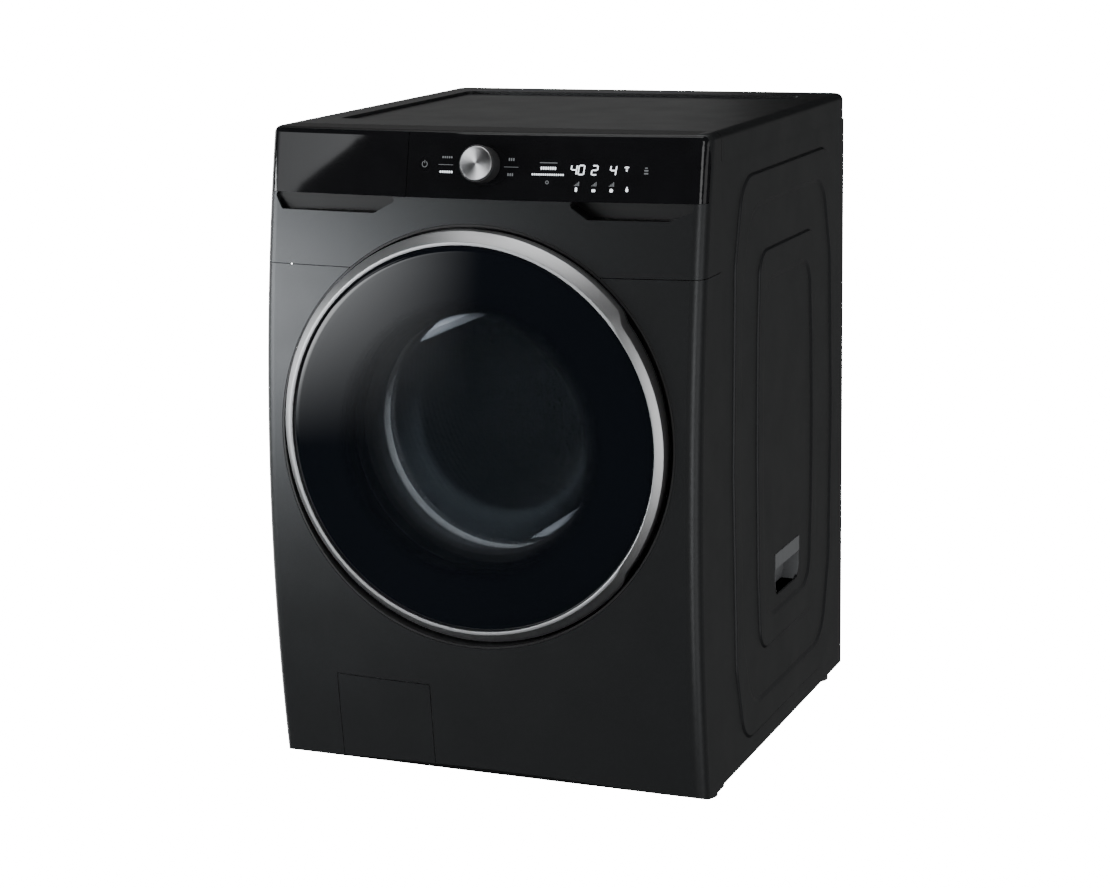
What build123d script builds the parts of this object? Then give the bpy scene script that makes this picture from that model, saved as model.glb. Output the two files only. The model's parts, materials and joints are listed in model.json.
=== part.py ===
from build123d import *
import math
import os

# Front-load washing machine, millimetres. +X right, +Y towards the back, +Z up.
# The origin is on the floor, at the centre of the bounding box.

# --- Overall sizes -------------------------------------------------------------------------
WIDTH = 686.0            # over the top cover and the side ridges
HEIGHT = 984.0           # floor to the top
DEPTH = 796.0            # door glass to the inlet valve's threads
FOOT_GAP = 19.0          # floor to the cabinet's bottom edge
REAR_FITTING = 21.0      # how far the inlet threads stand out of the rear panel
SEAM_SETBACK = 135.0     # door glass back to the seam between front and side panels
TOP_SKIRT = 42.0         # height of the top cover's side

# --- Front face: an upright arc, bowed sideways, rounded under at the bottom -----------------
FACE_SETBACK = 3.0       # door glass to the foremost point of the front face
FACE_BOW = 22.0          # how far the middle stands in front of the sides
FACE_RADIUS = 2740.0     # upright arc of the face
FACE_VERTEX = 389.0      # height of the arc's foremost point
CORNER_R = 22.0          # upright corners
TOP_R = 11.0             # rounded edge round the top
TOE_DEPTH = 92.0         # the bottom rounding, front to back
TOE_HEIGHT = 78.0        # the bottom rounding, bottom to top
SKIN = 1.6               # front panels
SHEET = 1.2              # side, rear and base sheet
SEAM = 1.0               # visible gap between panels
SPLIT_DROP = 198.0       # top down to the seam between the lower front panel and the control frame

# --- Control area ------------------------------------------------------------------------------
FASCIA_DROP = 3.0        # top down to the fascia
FASCIA_H = 91.0
FASCIA_EDGE = 2.0        # fascia set in from the cabinet's sides
FASCIA_T = 3.0           # glass and its bed in the control frame
GAP = 0.5                # clearance between parts of different bodies
DRAWER_SEAM = -107.0     # x of the gap between drawer front and glass
DIAL_X = 14.0
DIAL_DROP = 46.0         # top down to the dial's centre
DIAL_R = 26.3
DIAL_H = 28.0
DIAL_SHAFT_R = 3.0
BUTTON_X = -79.0
BUTTON_DROP = 47.0
BUTTON_R = 8.0
BUTTON_TRAVEL = 1.2
RECESS_DEPTH = 26.0      # finger recesses, back from the face below the fascia

# --- Door -----------------------------------------------------------------------------------
DOOR_Z = 545.0
DOOR_OPENING_R = 310.0
DOOR_GAP = 7.0               # round the door's ring
RING_FLARE = 14.0            # the ring's wall outside its lip
RING_LIP = 6.0               # the lip outside the glass
GLASS_T = 4.0
GLASS_EDGE_SETBACK = 11.0    # the glass is domed by this much
RING_LIP_SETBACK = 8.0
RING_ROOT_SETBACK = 23.0
DOOR_BACK_SETBACK = 46.0
WINDOW_R = 197.0
BOWL_REAR_R = 140.0
BOWL_DEPTH = 100.0           # behind the door's inner frame
WELL_FLOOR_SETBACK = 66.0
WELL_T = 3.0
GRIP_ANGLE = 38.0            # the handle covers this much above and below the horizontal
GRIP_CUT = 7.0               # the handle's wall is this much smaller, to let fingers in
HINGE_IN = 30.0              # the hinge pin inside the opening's edge
LATCH_IN = 48.0              # the latch inside the opening's edge
HINGE_SETBACK = 21.0
HINGE_HALF = 55.0            # hinge arms above and below the door's centre
HINGE_ARM_T = 5.0
HINGE_ARM_REACH = 38.0
PIN_R = 3.5
RUNNING = 0.05               # radial clearance of shafts and pins

# --- Wash unit --------------------------------------------------------------------------------
TUB_R = 300.0
DRUM_CLEARANCE = 32.0        # between tub and drum, round the drum
TUB_WALL = 4.0
TUB_FRONT = 130.0            # door glass back to the tub's front wall
TUB_LENGTH = 518.0
TUB_SPLIT = 250.0            # tub front wall back to the joint between its halves
MOUTH_R = 186.0
DRUM_WALL = 1.5
DRUM_MOUTH_R = 182.0
DRUM_GAP = 20.0              # tub front wall to drum front
DRUM_LENGTH = 450.0
LIFTER_H = 62.0
LIFTER_COUNT = 3
LIFTER_WALL = 3.0
SHAFT_R = 15.0
HUB_R = 40.0
BEARING_R = 31.0
BEARING_W = 16.0
PULLEY_R = 150.0
PULLEY_W = 16.0
MOTOR_X = 40.0
MOTOR_GAP = 5.0              # between tub and motor
MOTOR_R = 72.0
MOTOR_LENGTH = 120.0
MOTOR_PULLEY_R = 15.0
BELT_T = 4.0
DAMPER_IN = 85.0             # dampers inside the tub's side
DAMPER_R = 22.0
ROD_R = 9.0
SPRING_IN = 50.0             # springs inside the tub's side
SPRING_R = 14.0
SPRING_WIRE = 4.0
SPRING_TURNS = 9
RAIL_DROP = 100.0            # top down to the spring rail

# --- Detergent drawer ---------------------------------------------------------------------------
TRAY_LEFT = -299.0
TRAY_RIGHT = -119.0
TRAY_DROP = 23.0             # top down to the tray's rim
TRAY_DEPTH = 60.0
TRAY_LENGTH = 270.0
TRAY_WALL = 2.5
HOUSING_GAP = 2.0

# --- Filter door, pump and rear fittings -----------------------------------------------------------
FLAP_LEFT = -232.0
FLAP_RIGHT = -76.0
FLAP_LOW = 34.0
FLAP_HIGH = 169.0
FLAP_PIN_R = 2.5
FLAP_PIN_IN = 13.0           # the flap's pin, in from the surface at its height
FILTER_X = -154.0
FILTER_Z = 104.0
FILTER_R = 34.0
PUMP_FORWARD = 52.0          # pump's mouth in front of the side panels' seam
INLET_R = 13.2               # 3/4 inch hose thread
INLET_SPACING = 60.0
INLET_X = 180.0
INLET_DROP = 104.0
OUTLET_R = 11.0
OUTLET_X = -230.0
OUTLET_Z = 110.0
GLAND_X = -230.0
GLAND_DROP = 124.0
GLAND_R = 12.0
TRANSIT_R = 11.0
TRANSIT_X = 200.0
TRANSIT_LOW = 330.0
TRANSIT_HIGH = 700.0
COVER_R = 190.0
FOOT_R = 19.0
STUD_R = 5.0
FOOT_X = 312.0
FOOT_FRONT = 2.0             # seam back to the front feet
LEDGE = 34.0                 # the base reaches this far forward, under the front panel
FOOT_REAR = 50.0             # rear panel forward to the rear feet
FOOT_PAD = 9.0
BOSS_R = 16.0                # the base's bosses for the feet
BOSS_H = 14.0
BASE_RIM = 26.0

# --- Side ridges and grips ---------------------------------------------------------------------------
RIDGE = 3.0
# half width, half height, how far the corner and the shoulder lie inside the half width, corner radius
RIDGES = ((274.0, 431.0, 50.0, 12.0, 60.0), (234.0, 377.0, 48.0, 10.0, 60.0),
          (159.0, 311.0, 16.0, 4.0, 40.0), (124.0, 259.0, 14.0, 4.0, 38.0))
RIDGE_SHOULDER = 125.0       # shoulder below the top
RIDGE_CENTRE_Z = 479.0
RIDGE_CENTRE_BACK = 325.0    # seam back to the ridges' centre
GRIP_W = 127.0
GRIP_H = 72.0
GRIP_DEPTH = 26.0
GRIP_Z = 269.0

HALF = WIDTH / 2
FRONT_Y = -DEPTH / 2
BACK_Y = DEPTH / 2 - REAR_FITTING
SEAM_Y = FRONT_Y + SEAM_SETBACK
FACE_Y = FRONT_Y + FACE_SETBACK
BASE_Z = FOOT_GAP
SKIRT_Z = HEIGHT - TOP_SKIRT
BOW_R = (HALF ** 2 + FACE_BOW ** 2) / (2 * FACE_BOW)
PANEL_X = HALF - RIDGE
SPLIT_Z = HEIGHT - SPLIT_DROP
FASCIA_HIGH = HEIGHT - FASCIA_DROP
FASCIA_LOW = FASCIA_HIGH - FASCIA_H
DIAL_Z = HEIGHT - DIAL_DROP
BUTTON_Z = HEIGHT - BUTTON_DROP
RAIL_Z = HEIGHT - RAIL_DROP
TRAY_HIGH = HEIGHT - TRAY_DROP
TRAY_LOW = TRAY_HIGH - TRAY_DEPTH
INLET_Z = HEIGHT - INLET_DROP
GLAND_Z = HEIGHT - GLAND_DROP
RING_WALL_R = DOOR_OPENING_R - DOOR_GAP
RING_LIP_R = RING_WALL_R - RING_FLARE
GLASS_R = RING_LIP_R - RING_LIP
HINGE_X = -(DOOR_OPENING_R - HINGE_IN)
LATCH_X = DOOR_OPENING_R - LATCH_IN
DRUM_R = TUB_R - DRUM_CLEARANCE
SPRING_X = TUB_R - SPRING_IN
DAMPER_X = TUB_R - DAMPER_IN
MOTOR_Z = DOOR_Z - TUB_R - MOTOR_GAP - MOTOR_R
RING_LIP_Y = FRONT_Y + RING_LIP_SETBACK
RING_ROOT_Y = FRONT_Y + RING_ROOT_SETBACK
DOOR_BACK_Y = FRONT_Y + DOOR_BACK_SETBACK
GLASS_EDGE_Y = FRONT_Y + GLASS_EDGE_SETBACK
WELL_FLOOR_Y = FRONT_Y + WELL_FLOOR_SETBACK
HINGE_Y = FRONT_Y + HINGE_SETBACK
TUB_Y = FRONT_Y + TUB_FRONT
TUB_BACK_Y = TUB_Y + TUB_LENGTH
DRUM_Y = TUB_Y + DRUM_GAP
DRUM_BACK_Y = DRUM_Y + DRUM_LENGTH
PULLEY_Y = TUB_BACK_Y + 45.0
RIDGE_Y = SEAM_Y + RIDGE_CENTRE_BACK
SIDES = (("left", -1), ("right", 1))


def toe_y(z):
    """The bottom rounding's y at height z."""
    lift = 1 - (z - BASE_Z) / TOE_HEIGHT
    return FRONT_Y + TOE_DEPTH * (1 - math.sqrt(1 - lift ** 2))


FLAP_PIN_Z = FLAP_LOW + 4.0
FLAP_PIN_Y = toe_y(FLAP_PIN_Z) + FLAP_PIN_IN


def block(x0, x1, y0, y1, z0, z1):
    return Pos((x0 + x1) / 2, (y0 + y1) / 2, (z0 + z1) / 2) * Box(x1 - x0, y1 - y0, z1 - z0)


def rod_y(x, z, r, y0, y1):
    """A cylinder along Y."""
    return Pos(x, (y0 + y1) / 2, z) * Rot(90, 0, 0) * Cylinder(r, y1 - y0)


def rod_z(x, y, r, z0, z1):
    return Pos(x, y, (z0 + z1) / 2) * Cylinder(r, z1 - z0)


def tube_y(x, z, r_out, r_in, y0, y1):
    return rod_y(x, z, r_out, y0, y1) - rod_y(x, z, r_in, y0 - 1, y1 + 1)


def turned(points, x=0.0, z=DOOR_Z, arc=360.0):
    """Revolve (radius, y) points about an axis along Y through (x, z)."""
    profile = make_face(Polyline([(r, y) for r, y in points], close=True))
    return Pos(x, 0, z) * revolve(profile, Axis.Y, arc)


def sector(start, end, radius, y0, y1, z=DOOR_Z):
    """A pie slice about the door's axis, between two angles from +X towards +Z."""
    steps = max(2, math.ceil((end - start) / 30))
    corners = [(0.0, z)]
    for i in range(steps + 1):
        a = math.radians(start + (end - start) * i / steps)
        corners.append((radius * math.cos(a), z + radius * math.sin(a)))
    return prism_y(corners, y0, y1)


def prism_y(corners, y0, y1, r=0.0):
    """Extrude an outline of (x, z) corners along Y, with rounded corners."""
    face = Plane.XZ * make_face(Polyline(corners, close=True))
    if r:
        face = fillet(face.vertices(), r)
    return Pos(0, y1, 0) * extrude(face, y1 - y0)


# --- Front -------------------------------------------------------------------------------------

def face_y(z, x=0.0, inset=0.0):
    """The front face's y at height z."""
    arc = (z - FACE_VERTEX) ** 2 / (2 * FACE_RADIUS)
    return FACE_Y + inset + arc + x ** 2 / (2 * BOW_R)


RECESS_Y = face_y(FASCIA_LOW) + RECESS_DEPTH
TRAY_Y = face_y(TRAY_HIGH, TRAY_LEFT) + FASCIA_T + SKIN + 3
HOUSING_Y = TRAY_Y + 2
PUMP_Y = SEAM_Y - PUMP_FORWARD


def toe_block(inset):
    """Everything behind and above the bottom rounding."""
    toe_y = FACE_Y - FACE_SETBACK + inset
    bottom = BASE_Z + inset
    depth = TOE_DEPTH - inset
    height = TOE_HEIGHT - inset
    centre = (toe_y + depth, bottom + height)
    arc = EllipticalCenterArc(centre, depth, height, start_angle=180, arc_size=90)
    top = HEIGHT + 50
    line = Polyline((toe_y + depth, bottom), (SEAM_Y + 50, bottom), (SEAM_Y + 50, top), (toe_y, top),
                    (toe_y, bottom + height))
    profile = Plane.YZ * make_face(arc + line)
    return Pos(-WIDTH, 0, 0) * extrude(profile, 2 * WIDTH)


def front_block(inset, back=0.0):
    """The solid bounded by the front face, moved in by an inset."""
    front = FACE_Y + inset
    top = HEIGHT - inset
    low = BASE_Z - 40
    deep = SEAM_Y + 60
    radius = FACE_RADIUS - inset

    def at(z):
        return front + radius - math.sqrt(radius ** 2 - (z - FACE_VERTEX) ** 2)

    arc = ThreePointArc((at(low), low), (front, FACE_VERTEX), (at(top), top))
    line = Polyline((at(top), top), (deep, top), (deep, low), (at(low), low))
    profile = Plane.YZ * make_face(arc + line)
    axis = Axis((0, FACE_Y + BOW_R, 0), (0, 0, 1))
    swing = 2 * math.degrees(math.asin((HALF + 20) / BOW_R))
    solid = revolve(profile.rotate(axis, -swing / 2), axis, swing)
    side = HALF - inset
    solid = solid & block(-side, side, FRONT_Y - 50, SEAM_Y + back, low - 10, top + 10)
    corners = [e for e in solid.edges().filter_by(lambda e: abs(e.length - (top - low)) < 40)
               if e.center().Y < SEAM_Y - 20]
    solid = fillet(corners, max(CORNER_R - inset, SKIN))
    rim = [e for e in solid.edges() if abs(e.center().Z - top) < 0.01 and e.center().Y < SEAM_Y + back - 5]
    solid = fillet(rim, max(TOP_R - inset, SKIN))
    return solid & toe_block(inset)


OUTER = front_block(0.0)
INNER = front_block(SKIN, back=1.0)
BED = front_block(FASCIA_T, back=1.0)
UNDER_BED = front_block(FASCIA_T + SKIN, back=1.0)
DRAWER_BED = front_block(FASCIA_T - GAP, back=1.0)


def fascia_zone(x0, x1, grow=0.0):
    """The band that the glass and the drawer front fill."""
    return block(x0, x1, FRONT_Y - 20, SEAM_Y - 40, FASCIA_LOW - grow, FASCIA_HIGH + grow)


def recess_corners(grow=0.0):
    """The outlines of the two finger recesses, as (x, z)."""
    left = HALF - 13.0
    depth = 25.0
    top = FASCIA_LOW
    first = [(-left - grow, top + grow), (-left + 15 - grow, top - depth - grow),
             (-159 + grow, top - depth - grow), (DRAWER_SEAM - 4 + grow, top + grow)]
    second = [(135 - grow, top + grow), (173 - grow, top - depth - grow), (left - 40 + grow, top - depth - grow),
              (left - 8 + grow, top - depth / 2 - grow), (left + grow, top + grow)]
    return first, second


def filter_opening(grow):
    return block(FLAP_LEFT - grow, FLAP_RIGHT + grow, FRONT_Y, SEAM_Y - 1, FLAP_LOW - 5 * grow, FLAP_HIGH + grow)


def front_panel():
    solid = (OUTER - INNER) & block(-HALF, HALF, FRONT_Y, SEAM_Y - SEAM, 0, SPLIT_Z - SEAM / 2)
    solid -= rod_y(0, DOOR_Z, DOOR_OPENING_R, FRONT_Y - 5, SEAM_Y - 1)
    solid -= filter_opening(SEAM)
    solid -= ledge_zone(GAP)
    for x in (FLAP_LEFT - 6, FLAP_RIGHT + 2):
        solid += INNER & block(x, x + 4, FLAP_PIN_Y - 14, FLAP_PIN_Y + 5, FLAP_PIN_Z - 5, FLAP_PIN_Z + 5)
    return solid - flap_pin(FLAP_PIN_R + RUNNING)


def ledge_zone(grow):
    """The room in the front panel's bottom for the base's ledge."""
    edge = PANEL_X - 6.0 + grow
    return block(-edge, edge, SEAM_Y - LEDGE - grow, SEAM_Y + SHEET + GAP, BASE_Z - grow, BASE_Z + SHEET + grow)


def flap_pin(r):
    length = FLAP_RIGHT - FLAP_LEFT + 12
    return Pos((FLAP_LEFT + FLAP_RIGHT) / 2, FLAP_PIN_Y, FLAP_PIN_Z) * Rot(0, 90, 0) * Cylinder(r, length)


def control_frame():
    shell = OUTER - INNER
    zone = fascia_zone(-HALF + FASCIA_EDGE - SEAM / 2, HALF - FASCIA_EDGE + SEAM / 2, SEAM / 2)
    shell = shell - zone + ((BED - UNDER_BED) & fascia_zone(-HALF + SKIN, HALF - SKIN, SKIN))
    for corners in recess_corners(SKIN):
        pocket = prism_y(corners, FRONT_Y, RECESS_Y + SKIN)
        shell += pocket & BED
        shell += pocket & OUTER & block(-HALF, HALF, FRONT_Y, SEAM_Y, 0, FASCIA_LOW - SEAM / 2)
    for corners in recess_corners():
        shell -= prism_y(corners, FRONT_Y - 9, RECESS_Y, 5.0) & \
            block(-HALF, HALF, FRONT_Y - 9, SEAM_Y, 0, FASCIA_LOW)
    shell = shell & block(-HALF, HALF, FRONT_Y, SEAM_Y - SEAM, SPLIT_Z + SEAM / 2, HEIGHT)
    shell -= rod_y(0, DOOR_Z, DOOR_OPENING_R, FRONT_Y - 5, SEAM_Y - 1)
    shell -= block(TRAY_LEFT - HOUSING_GAP, TRAY_RIGHT + HOUSING_GAP, FRONT_Y, SEAM_Y, TRAY_LOW - HOUSING_GAP,
                   TRAY_HIGH + HOUSING_GAP)
    shell -= dial_bore(DIAL_SHAFT_R + 2)
    return shell - rod_y(BUTTON_X, BUTTON_Z, BUTTON_R + GAP, FRONT_Y, SEAM_Y - 1)


def fascia_glass():
    glass = (OUTER - BED) & fascia_zone(DRAWER_SEAM + SEAM / 2, HALF - FASCIA_EDGE)
    glass -= dial_bore(DIAL_SHAFT_R + 2)
    return glass - rod_y(BUTTON_X, BUTTON_Z, BUTTON_R + GAP, FRONT_Y, SEAM_Y - 1)


def power_button():
    cap = (OUTER - front_block(FASCIA_T + SKIN + 4, back=1.0)) & rod_y(BUTTON_X, BUTTON_Z, BUTTON_R, FRONT_Y, SEAM_Y)
    return cap


def display_module():
    module = front_block(FASCIA_T + SKIN + 1) - front_block(FASCIA_T + SKIN + 13, back=1.0)
    return module & block(82, 268, FRONT_Y, SEAM_Y, FASCIA_LOW + 4, FASCIA_HIGH - 24)


DIAL_LEAN = math.degrees(math.atan((DIAL_Z - FACE_VERTEX) / FACE_RADIUS))
DIAL_PLANE = Pos(DIAL_X, face_y(DIAL_Z, DIAL_X), DIAL_Z) * Rot(90 - DIAL_LEAN, 0, 0)


def dial_bore(r):
    return DIAL_PLANE * Cylinder(r, 60)


def dial_knob():
    """A round knob on a short shaft; its own +Z points out of the fascia."""
    knob = Pos(0, 0, GAP + DIAL_H / 2) * Cylinder(DIAL_R, DIAL_H)
    knob = fillet(knob.edges().sort_by(Axis.Z)[-1:], 1.5)
    knob -= Pos(0, 0, DIAL_H) * Cylinder(DIAL_R - 2, 2.2 - 2 * GAP)
    return DIAL_PLANE * (knob + Pos(0, 0, -10) * Cylinder(DIAL_SHAFT_R, 22))


def dial_cap():
    """The brushed metal disc set into the knob."""
    disc = Pos(0, 0, DIAL_H + 0.6) * Cylinder(DIAL_R - 2, 2.4)
    return DIAL_PLANE * chamfer(disc.edges().sort_by(Axis.Z)[-1:], 0.5)


# --- Cabinet -------------------------------------------------------------------------------------

def ridge_outline(half_w, half_h, corner_in, shoulder_in, r):
    """One ridge line: a tall outline with bulging sides and round corners, as (y, z)."""
    quarter = [(half_w - corner_in, half_h), (half_w - shoulder_in, half_h - RIDGE_SHOULDER), (half_w, 0)]
    right = quarter + [(y, -z) for y, z in reversed(quarter[:-1])]
    left = [(-y, z) for y, z in reversed(right)]
    face = make_face(Polyline(right + left, close=True))
    face = fillet([v for v in face.vertices() if abs(abs(v.Y) - half_h) < 1], r)
    return face


def grip_corners(grow=0.0):
    """The side grip's outline: straight above, rounded below, as (y, z) about its centre."""
    return GRIP_W / 2 + grow, GRIP_H / 2 + grow


def grip_block(grow, depth, side):
    half_w, half_h = grip_corners(grow)
    solid = block(0, depth, RIDGE_Y - half_w, RIDGE_Y + half_w, GRIP_Z - half_h, GRIP_Z + half_h)
    low = [e for e in solid.edges().filter_by(Axis.X) if e.center().Z < GRIP_Z]
    solid = fillet(low, 26.0)
    inner = PANEL_X - depth
    return Pos(inner if side > 0 else -PANEL_X, 0, 0) * solid


def ridge_band(i, inset, x0, x1):
    """The solid between two ridge lines, each moved in from the band's edge."""
    outer = offset(ridge_outline(*RIDGES[i]), -inset)
    inner = offset(ridge_outline(*RIDGES[i + 1]), inset)
    band = (Plane.YZ * outer) - (Plane.YZ * inner)
    return Pos(x0, RIDGE_Y, RIDGE_CENTRE_Z) * extrude(band, x1 - x0, dir=(1, 0, 0))


def side_panel(side):
    """A sheet with two raised bands, one inside the other, and flanges front and back."""
    sheet = block(PANEL_X - SHEET, PANEL_X, SEAM_Y, BACK_Y - SHEET - GAP, BASE_Z, SKIRT_Z)
    for i in (0, 2):
        sheet += ridge_band(i, 0.0, PANEL_X - SHEET, PANEL_X + RIDGE)
        sheet -= ridge_band(i, SHEET, PANEL_X - SHEET - 1, PANEL_X + RIDGE - SHEET)
    sheet += block(PANEL_X - 22, PANEL_X - 1, SEAM_Y, SEAM_Y + SHEET, BASE_Z + BOSS_H + GAP, SKIRT_Z)
    sheet += block(PANEL_X - 22, PANEL_X - 1, BACK_Y - 2 * SHEET - GAP, BACK_Y - SHEET - GAP, BASE_Z, SKIRT_Z)
    sheet -= block(PANEL_X - 9, HALF, RIDGE_Y - GRIP_W / 2, RIDGE_Y + GRIP_W / 2, GRIP_Z - GRIP_H / 2 + 4,
                   GRIP_Z + GRIP_H / 2)
    return sheet if side > 0 else mirror(sheet, Plane.YZ)


def side_grip(side):
    """A moulded pocket with a finger lip under its hood."""
    cup = grip_block(0.0, GRIP_DEPTH, 1) - Pos(1, 0, 0) * grip_block(-2.0, GRIP_DEPTH - 1, 1)
    cup = cup & block(0, HALF, RIDGE_Y - GRIP_W / 2 + 0.3, RIDGE_Y + GRIP_W / 2 - 0.3, GRIP_Z - GRIP_H / 2 + 4.3,
                      GRIP_Z + GRIP_H / 2 - 0.3)
    lip = block(PANEL_X - 6, PANEL_X + 1, RIDGE_Y - GRIP_W / 2 + 0.3, RIDGE_Y + GRIP_W / 2 - 0.3,
                GRIP_Z + GRIP_H / 2 - 24, GRIP_Z + GRIP_H / 2 - 0.3)
    cup += lip
    return cup if side > 0 else mirror(cup, Plane.YZ)


def base_frame():
    """A tray with a rim, foot bosses and damper brackets."""
    edge = PANEL_X - SHEET - GAP
    front = SEAM_Y + SHEET + GAP
    back = BACK_Y - 2 * SHEET - 2 * GAP
    tray = block(-edge, edge, front, back, BASE_Z, BASE_Z + BASE_RIM)
    tray -= block(-edge + SHEET, edge - SHEET, front + SHEET, back - SHEET, BASE_Z + SHEET,
                  BASE_Z + BASE_RIM + 1)
    tray += ledge_zone(0.0)
    for x, y in FOOT_PLACES:
        tray += rod_z(x, y, BOSS_R, BASE_Z, BASE_Z + BOSS_H)
    for x, y in FOOT_PLACES:
        tray -= rod_z(x, y, STUD_R + RUNNING, BASE_Z - 1, BASE_Z + BASE_RIM + 1)
    return tray


FOOT_PLACES = [(x, y) for y in (SEAM_Y + FOOT_FRONT, BACK_Y - FOOT_REAR) for x in (-FOOT_X, FOOT_X)]
FOOT_NAMES = ("foot_front_left", "foot_front_right", "foot_rear_left", "foot_rear_right")


def foot(x, y):
    pad = fillet(rod_z(x, y, FOOT_R, 0, FOOT_PAD).edges(), 2.0)
    return pad + rod_z(x, y, 9.0, FOOT_PAD - 1, FOOT_PAD + 3) + rod_z(x, y, STUD_R, FOOT_PAD, BASE_Z + 20)


def foot_nuts():
    nuts = []
    for x, y in FOOT_PLACES:
        nut = Pos(x, y, BASE_Z - 3) * extrude(RegularPolygon(9.2, 6), 2.8)
        nuts.append(nut - rod_z(x, y, STUD_R + RUNNING, BASE_Z - 4, BASE_Z + 1))
    return nuts


def rear_panel():
    edge = PANEL_X
    panel = block(-edge, edge, BACK_Y - SHEET, BACK_Y, BASE_Z, SKIRT_Z - GAP)
    panel -= rod_y(0, DOOR_Z, COVER_R - 12, BACK_Y - 9, BACK_Y + 9)
    for x in (-TRANSIT_X, TRANSIT_X):
        for z in (TRANSIT_LOW, TRANSIT_HIGH):
            panel -= rod_y(x, z, TRANSIT_R, BACK_Y - 9, BACK_Y + 9)
    for x in INLET_PLACES:
        panel -= rod_y(x, INLET_Z, INLET_R + 2, BACK_Y - 9, BACK_Y + 9)
    panel -= rod_y(OUTLET_X, OUTLET_Z, OUTLET_R, BACK_Y - 9, BACK_Y + 9)
    return panel - rod_y(GLAND_X, GLAND_Z, GLAND_R - 3, BACK_Y - 9, BACK_Y + 9)


INLET_PLACES = (INLET_X, INLET_X + INLET_SPACING)


def rear_cover():
    """A round dished access cover."""
    cover = rod_y(0, DOOR_Z, COVER_R, BACK_Y, BACK_Y + 6) - rod_y(0, DOOR_Z, COVER_R - 14, BACK_Y - 1, BACK_Y + 4)
    cover += tube_y(0, DOOR_Z, COVER_R - 60, COVER_R - 80, BACK_Y + 4, BACK_Y + 8)
    return cover


def top_cover():
    """The frame round the top, with a skirt; its back corners are rounded."""
    frame = block(-HALF, HALF, SEAM_Y, BACK_Y + 2, SKIRT_Z, HEIGHT)
    back = [e for e in frame.edges().filter_by(Axis.Z) if e.center().Y > 0]
    frame = fillet(back, CORNER_R)
    rim = [e for e in frame.edges() if abs(e.center().Z - HEIGHT) < 0.01 and e.center().Y > SEAM_Y + 1]
    frame = fillet(rim, TOP_R)
    frame -= block(-PANEL_X + SHEET, PANEL_X - SHEET, SEAM_Y - 1, BACK_Y, SKIRT_Z - 1, HEIGHT - DECK_T)
    return frame - inset_zone(0, HEIGHT - 20, HEIGHT + 1)


INSET_X = 292.0
INSET_FRONT = 79.0           # seam back to the inset's front edge
INSET_BACK = 75.0            # rear panel forward to the inset's back edge
INSET_DROP = 4.5
INSET_T = 1.2
DECK_T = 7.0


def inset_zone(shrink, z0, z1):
    zone = block(-INSET_X + shrink, INSET_X - shrink, SEAM_Y + INSET_FRONT + shrink, BACK_Y - INSET_BACK - shrink,
                 z0, z1)
    return fillet(zone.edges().filter_by(Axis.Z), 12.0 - shrink)


def top_inset():
    z = HEIGHT - INSET_DROP
    return inset_zone(4.0, z - INSET_T, z) + inset_zone(0.5, z - 2 * INSET_T, z - INSET_T)


# --- Door and its surround ----------------------------------------------------------------------------

def door_surround():
    """The black well that the door sits in, down to the gasket's opening."""
    r = DOOR_OPENING_R
    ring = turned([(r - GAP, FRONT_Y), (r - GAP, WELL_FLOOR_Y + WELL_T), (MOUTH_R + 8, WELL_FLOOR_Y + WELL_T),
                   (MOUTH_R + 8, WELL_FLOOR_Y), (r - GAP - WELL_T, WELL_FLOOR_Y), (r - GAP - WELL_T, FRONT_Y)])
    return (ring & front_block(GAP, back=1.0)) - lock_slot(1.0)


def lock_slot(grow):
    return block(LATCH_X - 8 - grow, LATCH_X + 8 + grow, WELL_FLOOR_Y - 1, WELL_FLOOR_Y + WELL_T + 1,
                 DOOR_Z - 14 - grow, DOOR_Z + 14 + grow)


LATCH_PIN_R = 3.0


def door_lock():
    """The lock case behind the well, open in front for the hook."""
    y0 = WELL_FLOOR_Y + WELL_T
    case = block(LATCH_X - 20, LATCH_X + 20, y0, y0 + 32, DOOR_Z - 38, DOOR_Z + 38)
    return case - block(LATCH_X - 9, LATCH_X + 9, y0 - 1, y0 + 26, DOOR_Z - 15, DOOR_Z + 15)


def latch_hook():
    """A hook on a short pin; it swings sideways to let the striker go."""
    y0 = DOOR_BACK_Y - 8
    tip = WELL_FLOOR_Y + WELL_T + 18
    arm = block(LATCH_X - 3, LATCH_X + 3, y0, tip, DOOR_Z - 9, DOOR_Z + 9)
    barb = block(LATCH_X - 6, LATCH_X + 3, tip - 6, tip, DOOR_Z - 9, DOOR_Z + 9)
    return arm + barb + rod_z(LATCH_X, y0, LATCH_PIN_R, DOOR_Z - 20, DOOR_Z + 20)


def ring_profile(cut):
    """The door ring's section: bright lip, flared wall, and a foot behind the glass."""
    wall = RING_WALL_R - cut
    return [(RING_LIP_R - 5, RING_LIP_Y), (RING_LIP_R, RING_LIP_Y), (wall, RING_ROOT_Y), (wall, DOOR_BACK_Y - 2),
            (wall - 3, DOOR_BACK_Y - 2), (wall - 3, RING_ROOT_Y + 1), (RING_LIP_R - 3, GLASS_EDGE_Y + GLASS_T),
            (RING_LIP_R - 5, GLASS_EDGE_Y + GLASS_T)]


def door_ring():
    cut = sector(-GRIP_ANGLE, GRIP_ANGLE, RING_WALL_R + 40, RING_LIP_Y + 2.5, DOOR_BACK_Y + 9)
    return turned(ring_profile(0.0)) - cut


def door_handle():
    """The grip on the side away from the hinge: the same ring with room behind it for fingers."""
    zone = sector(-GRIP_ANGLE + 0.1, GRIP_ANGLE - 0.1, RING_WALL_R + 40, RING_LIP_Y + 2.5, DOOR_BACK_Y + 9)
    return turned(ring_profile(GRIP_CUT)) & zone


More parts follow.
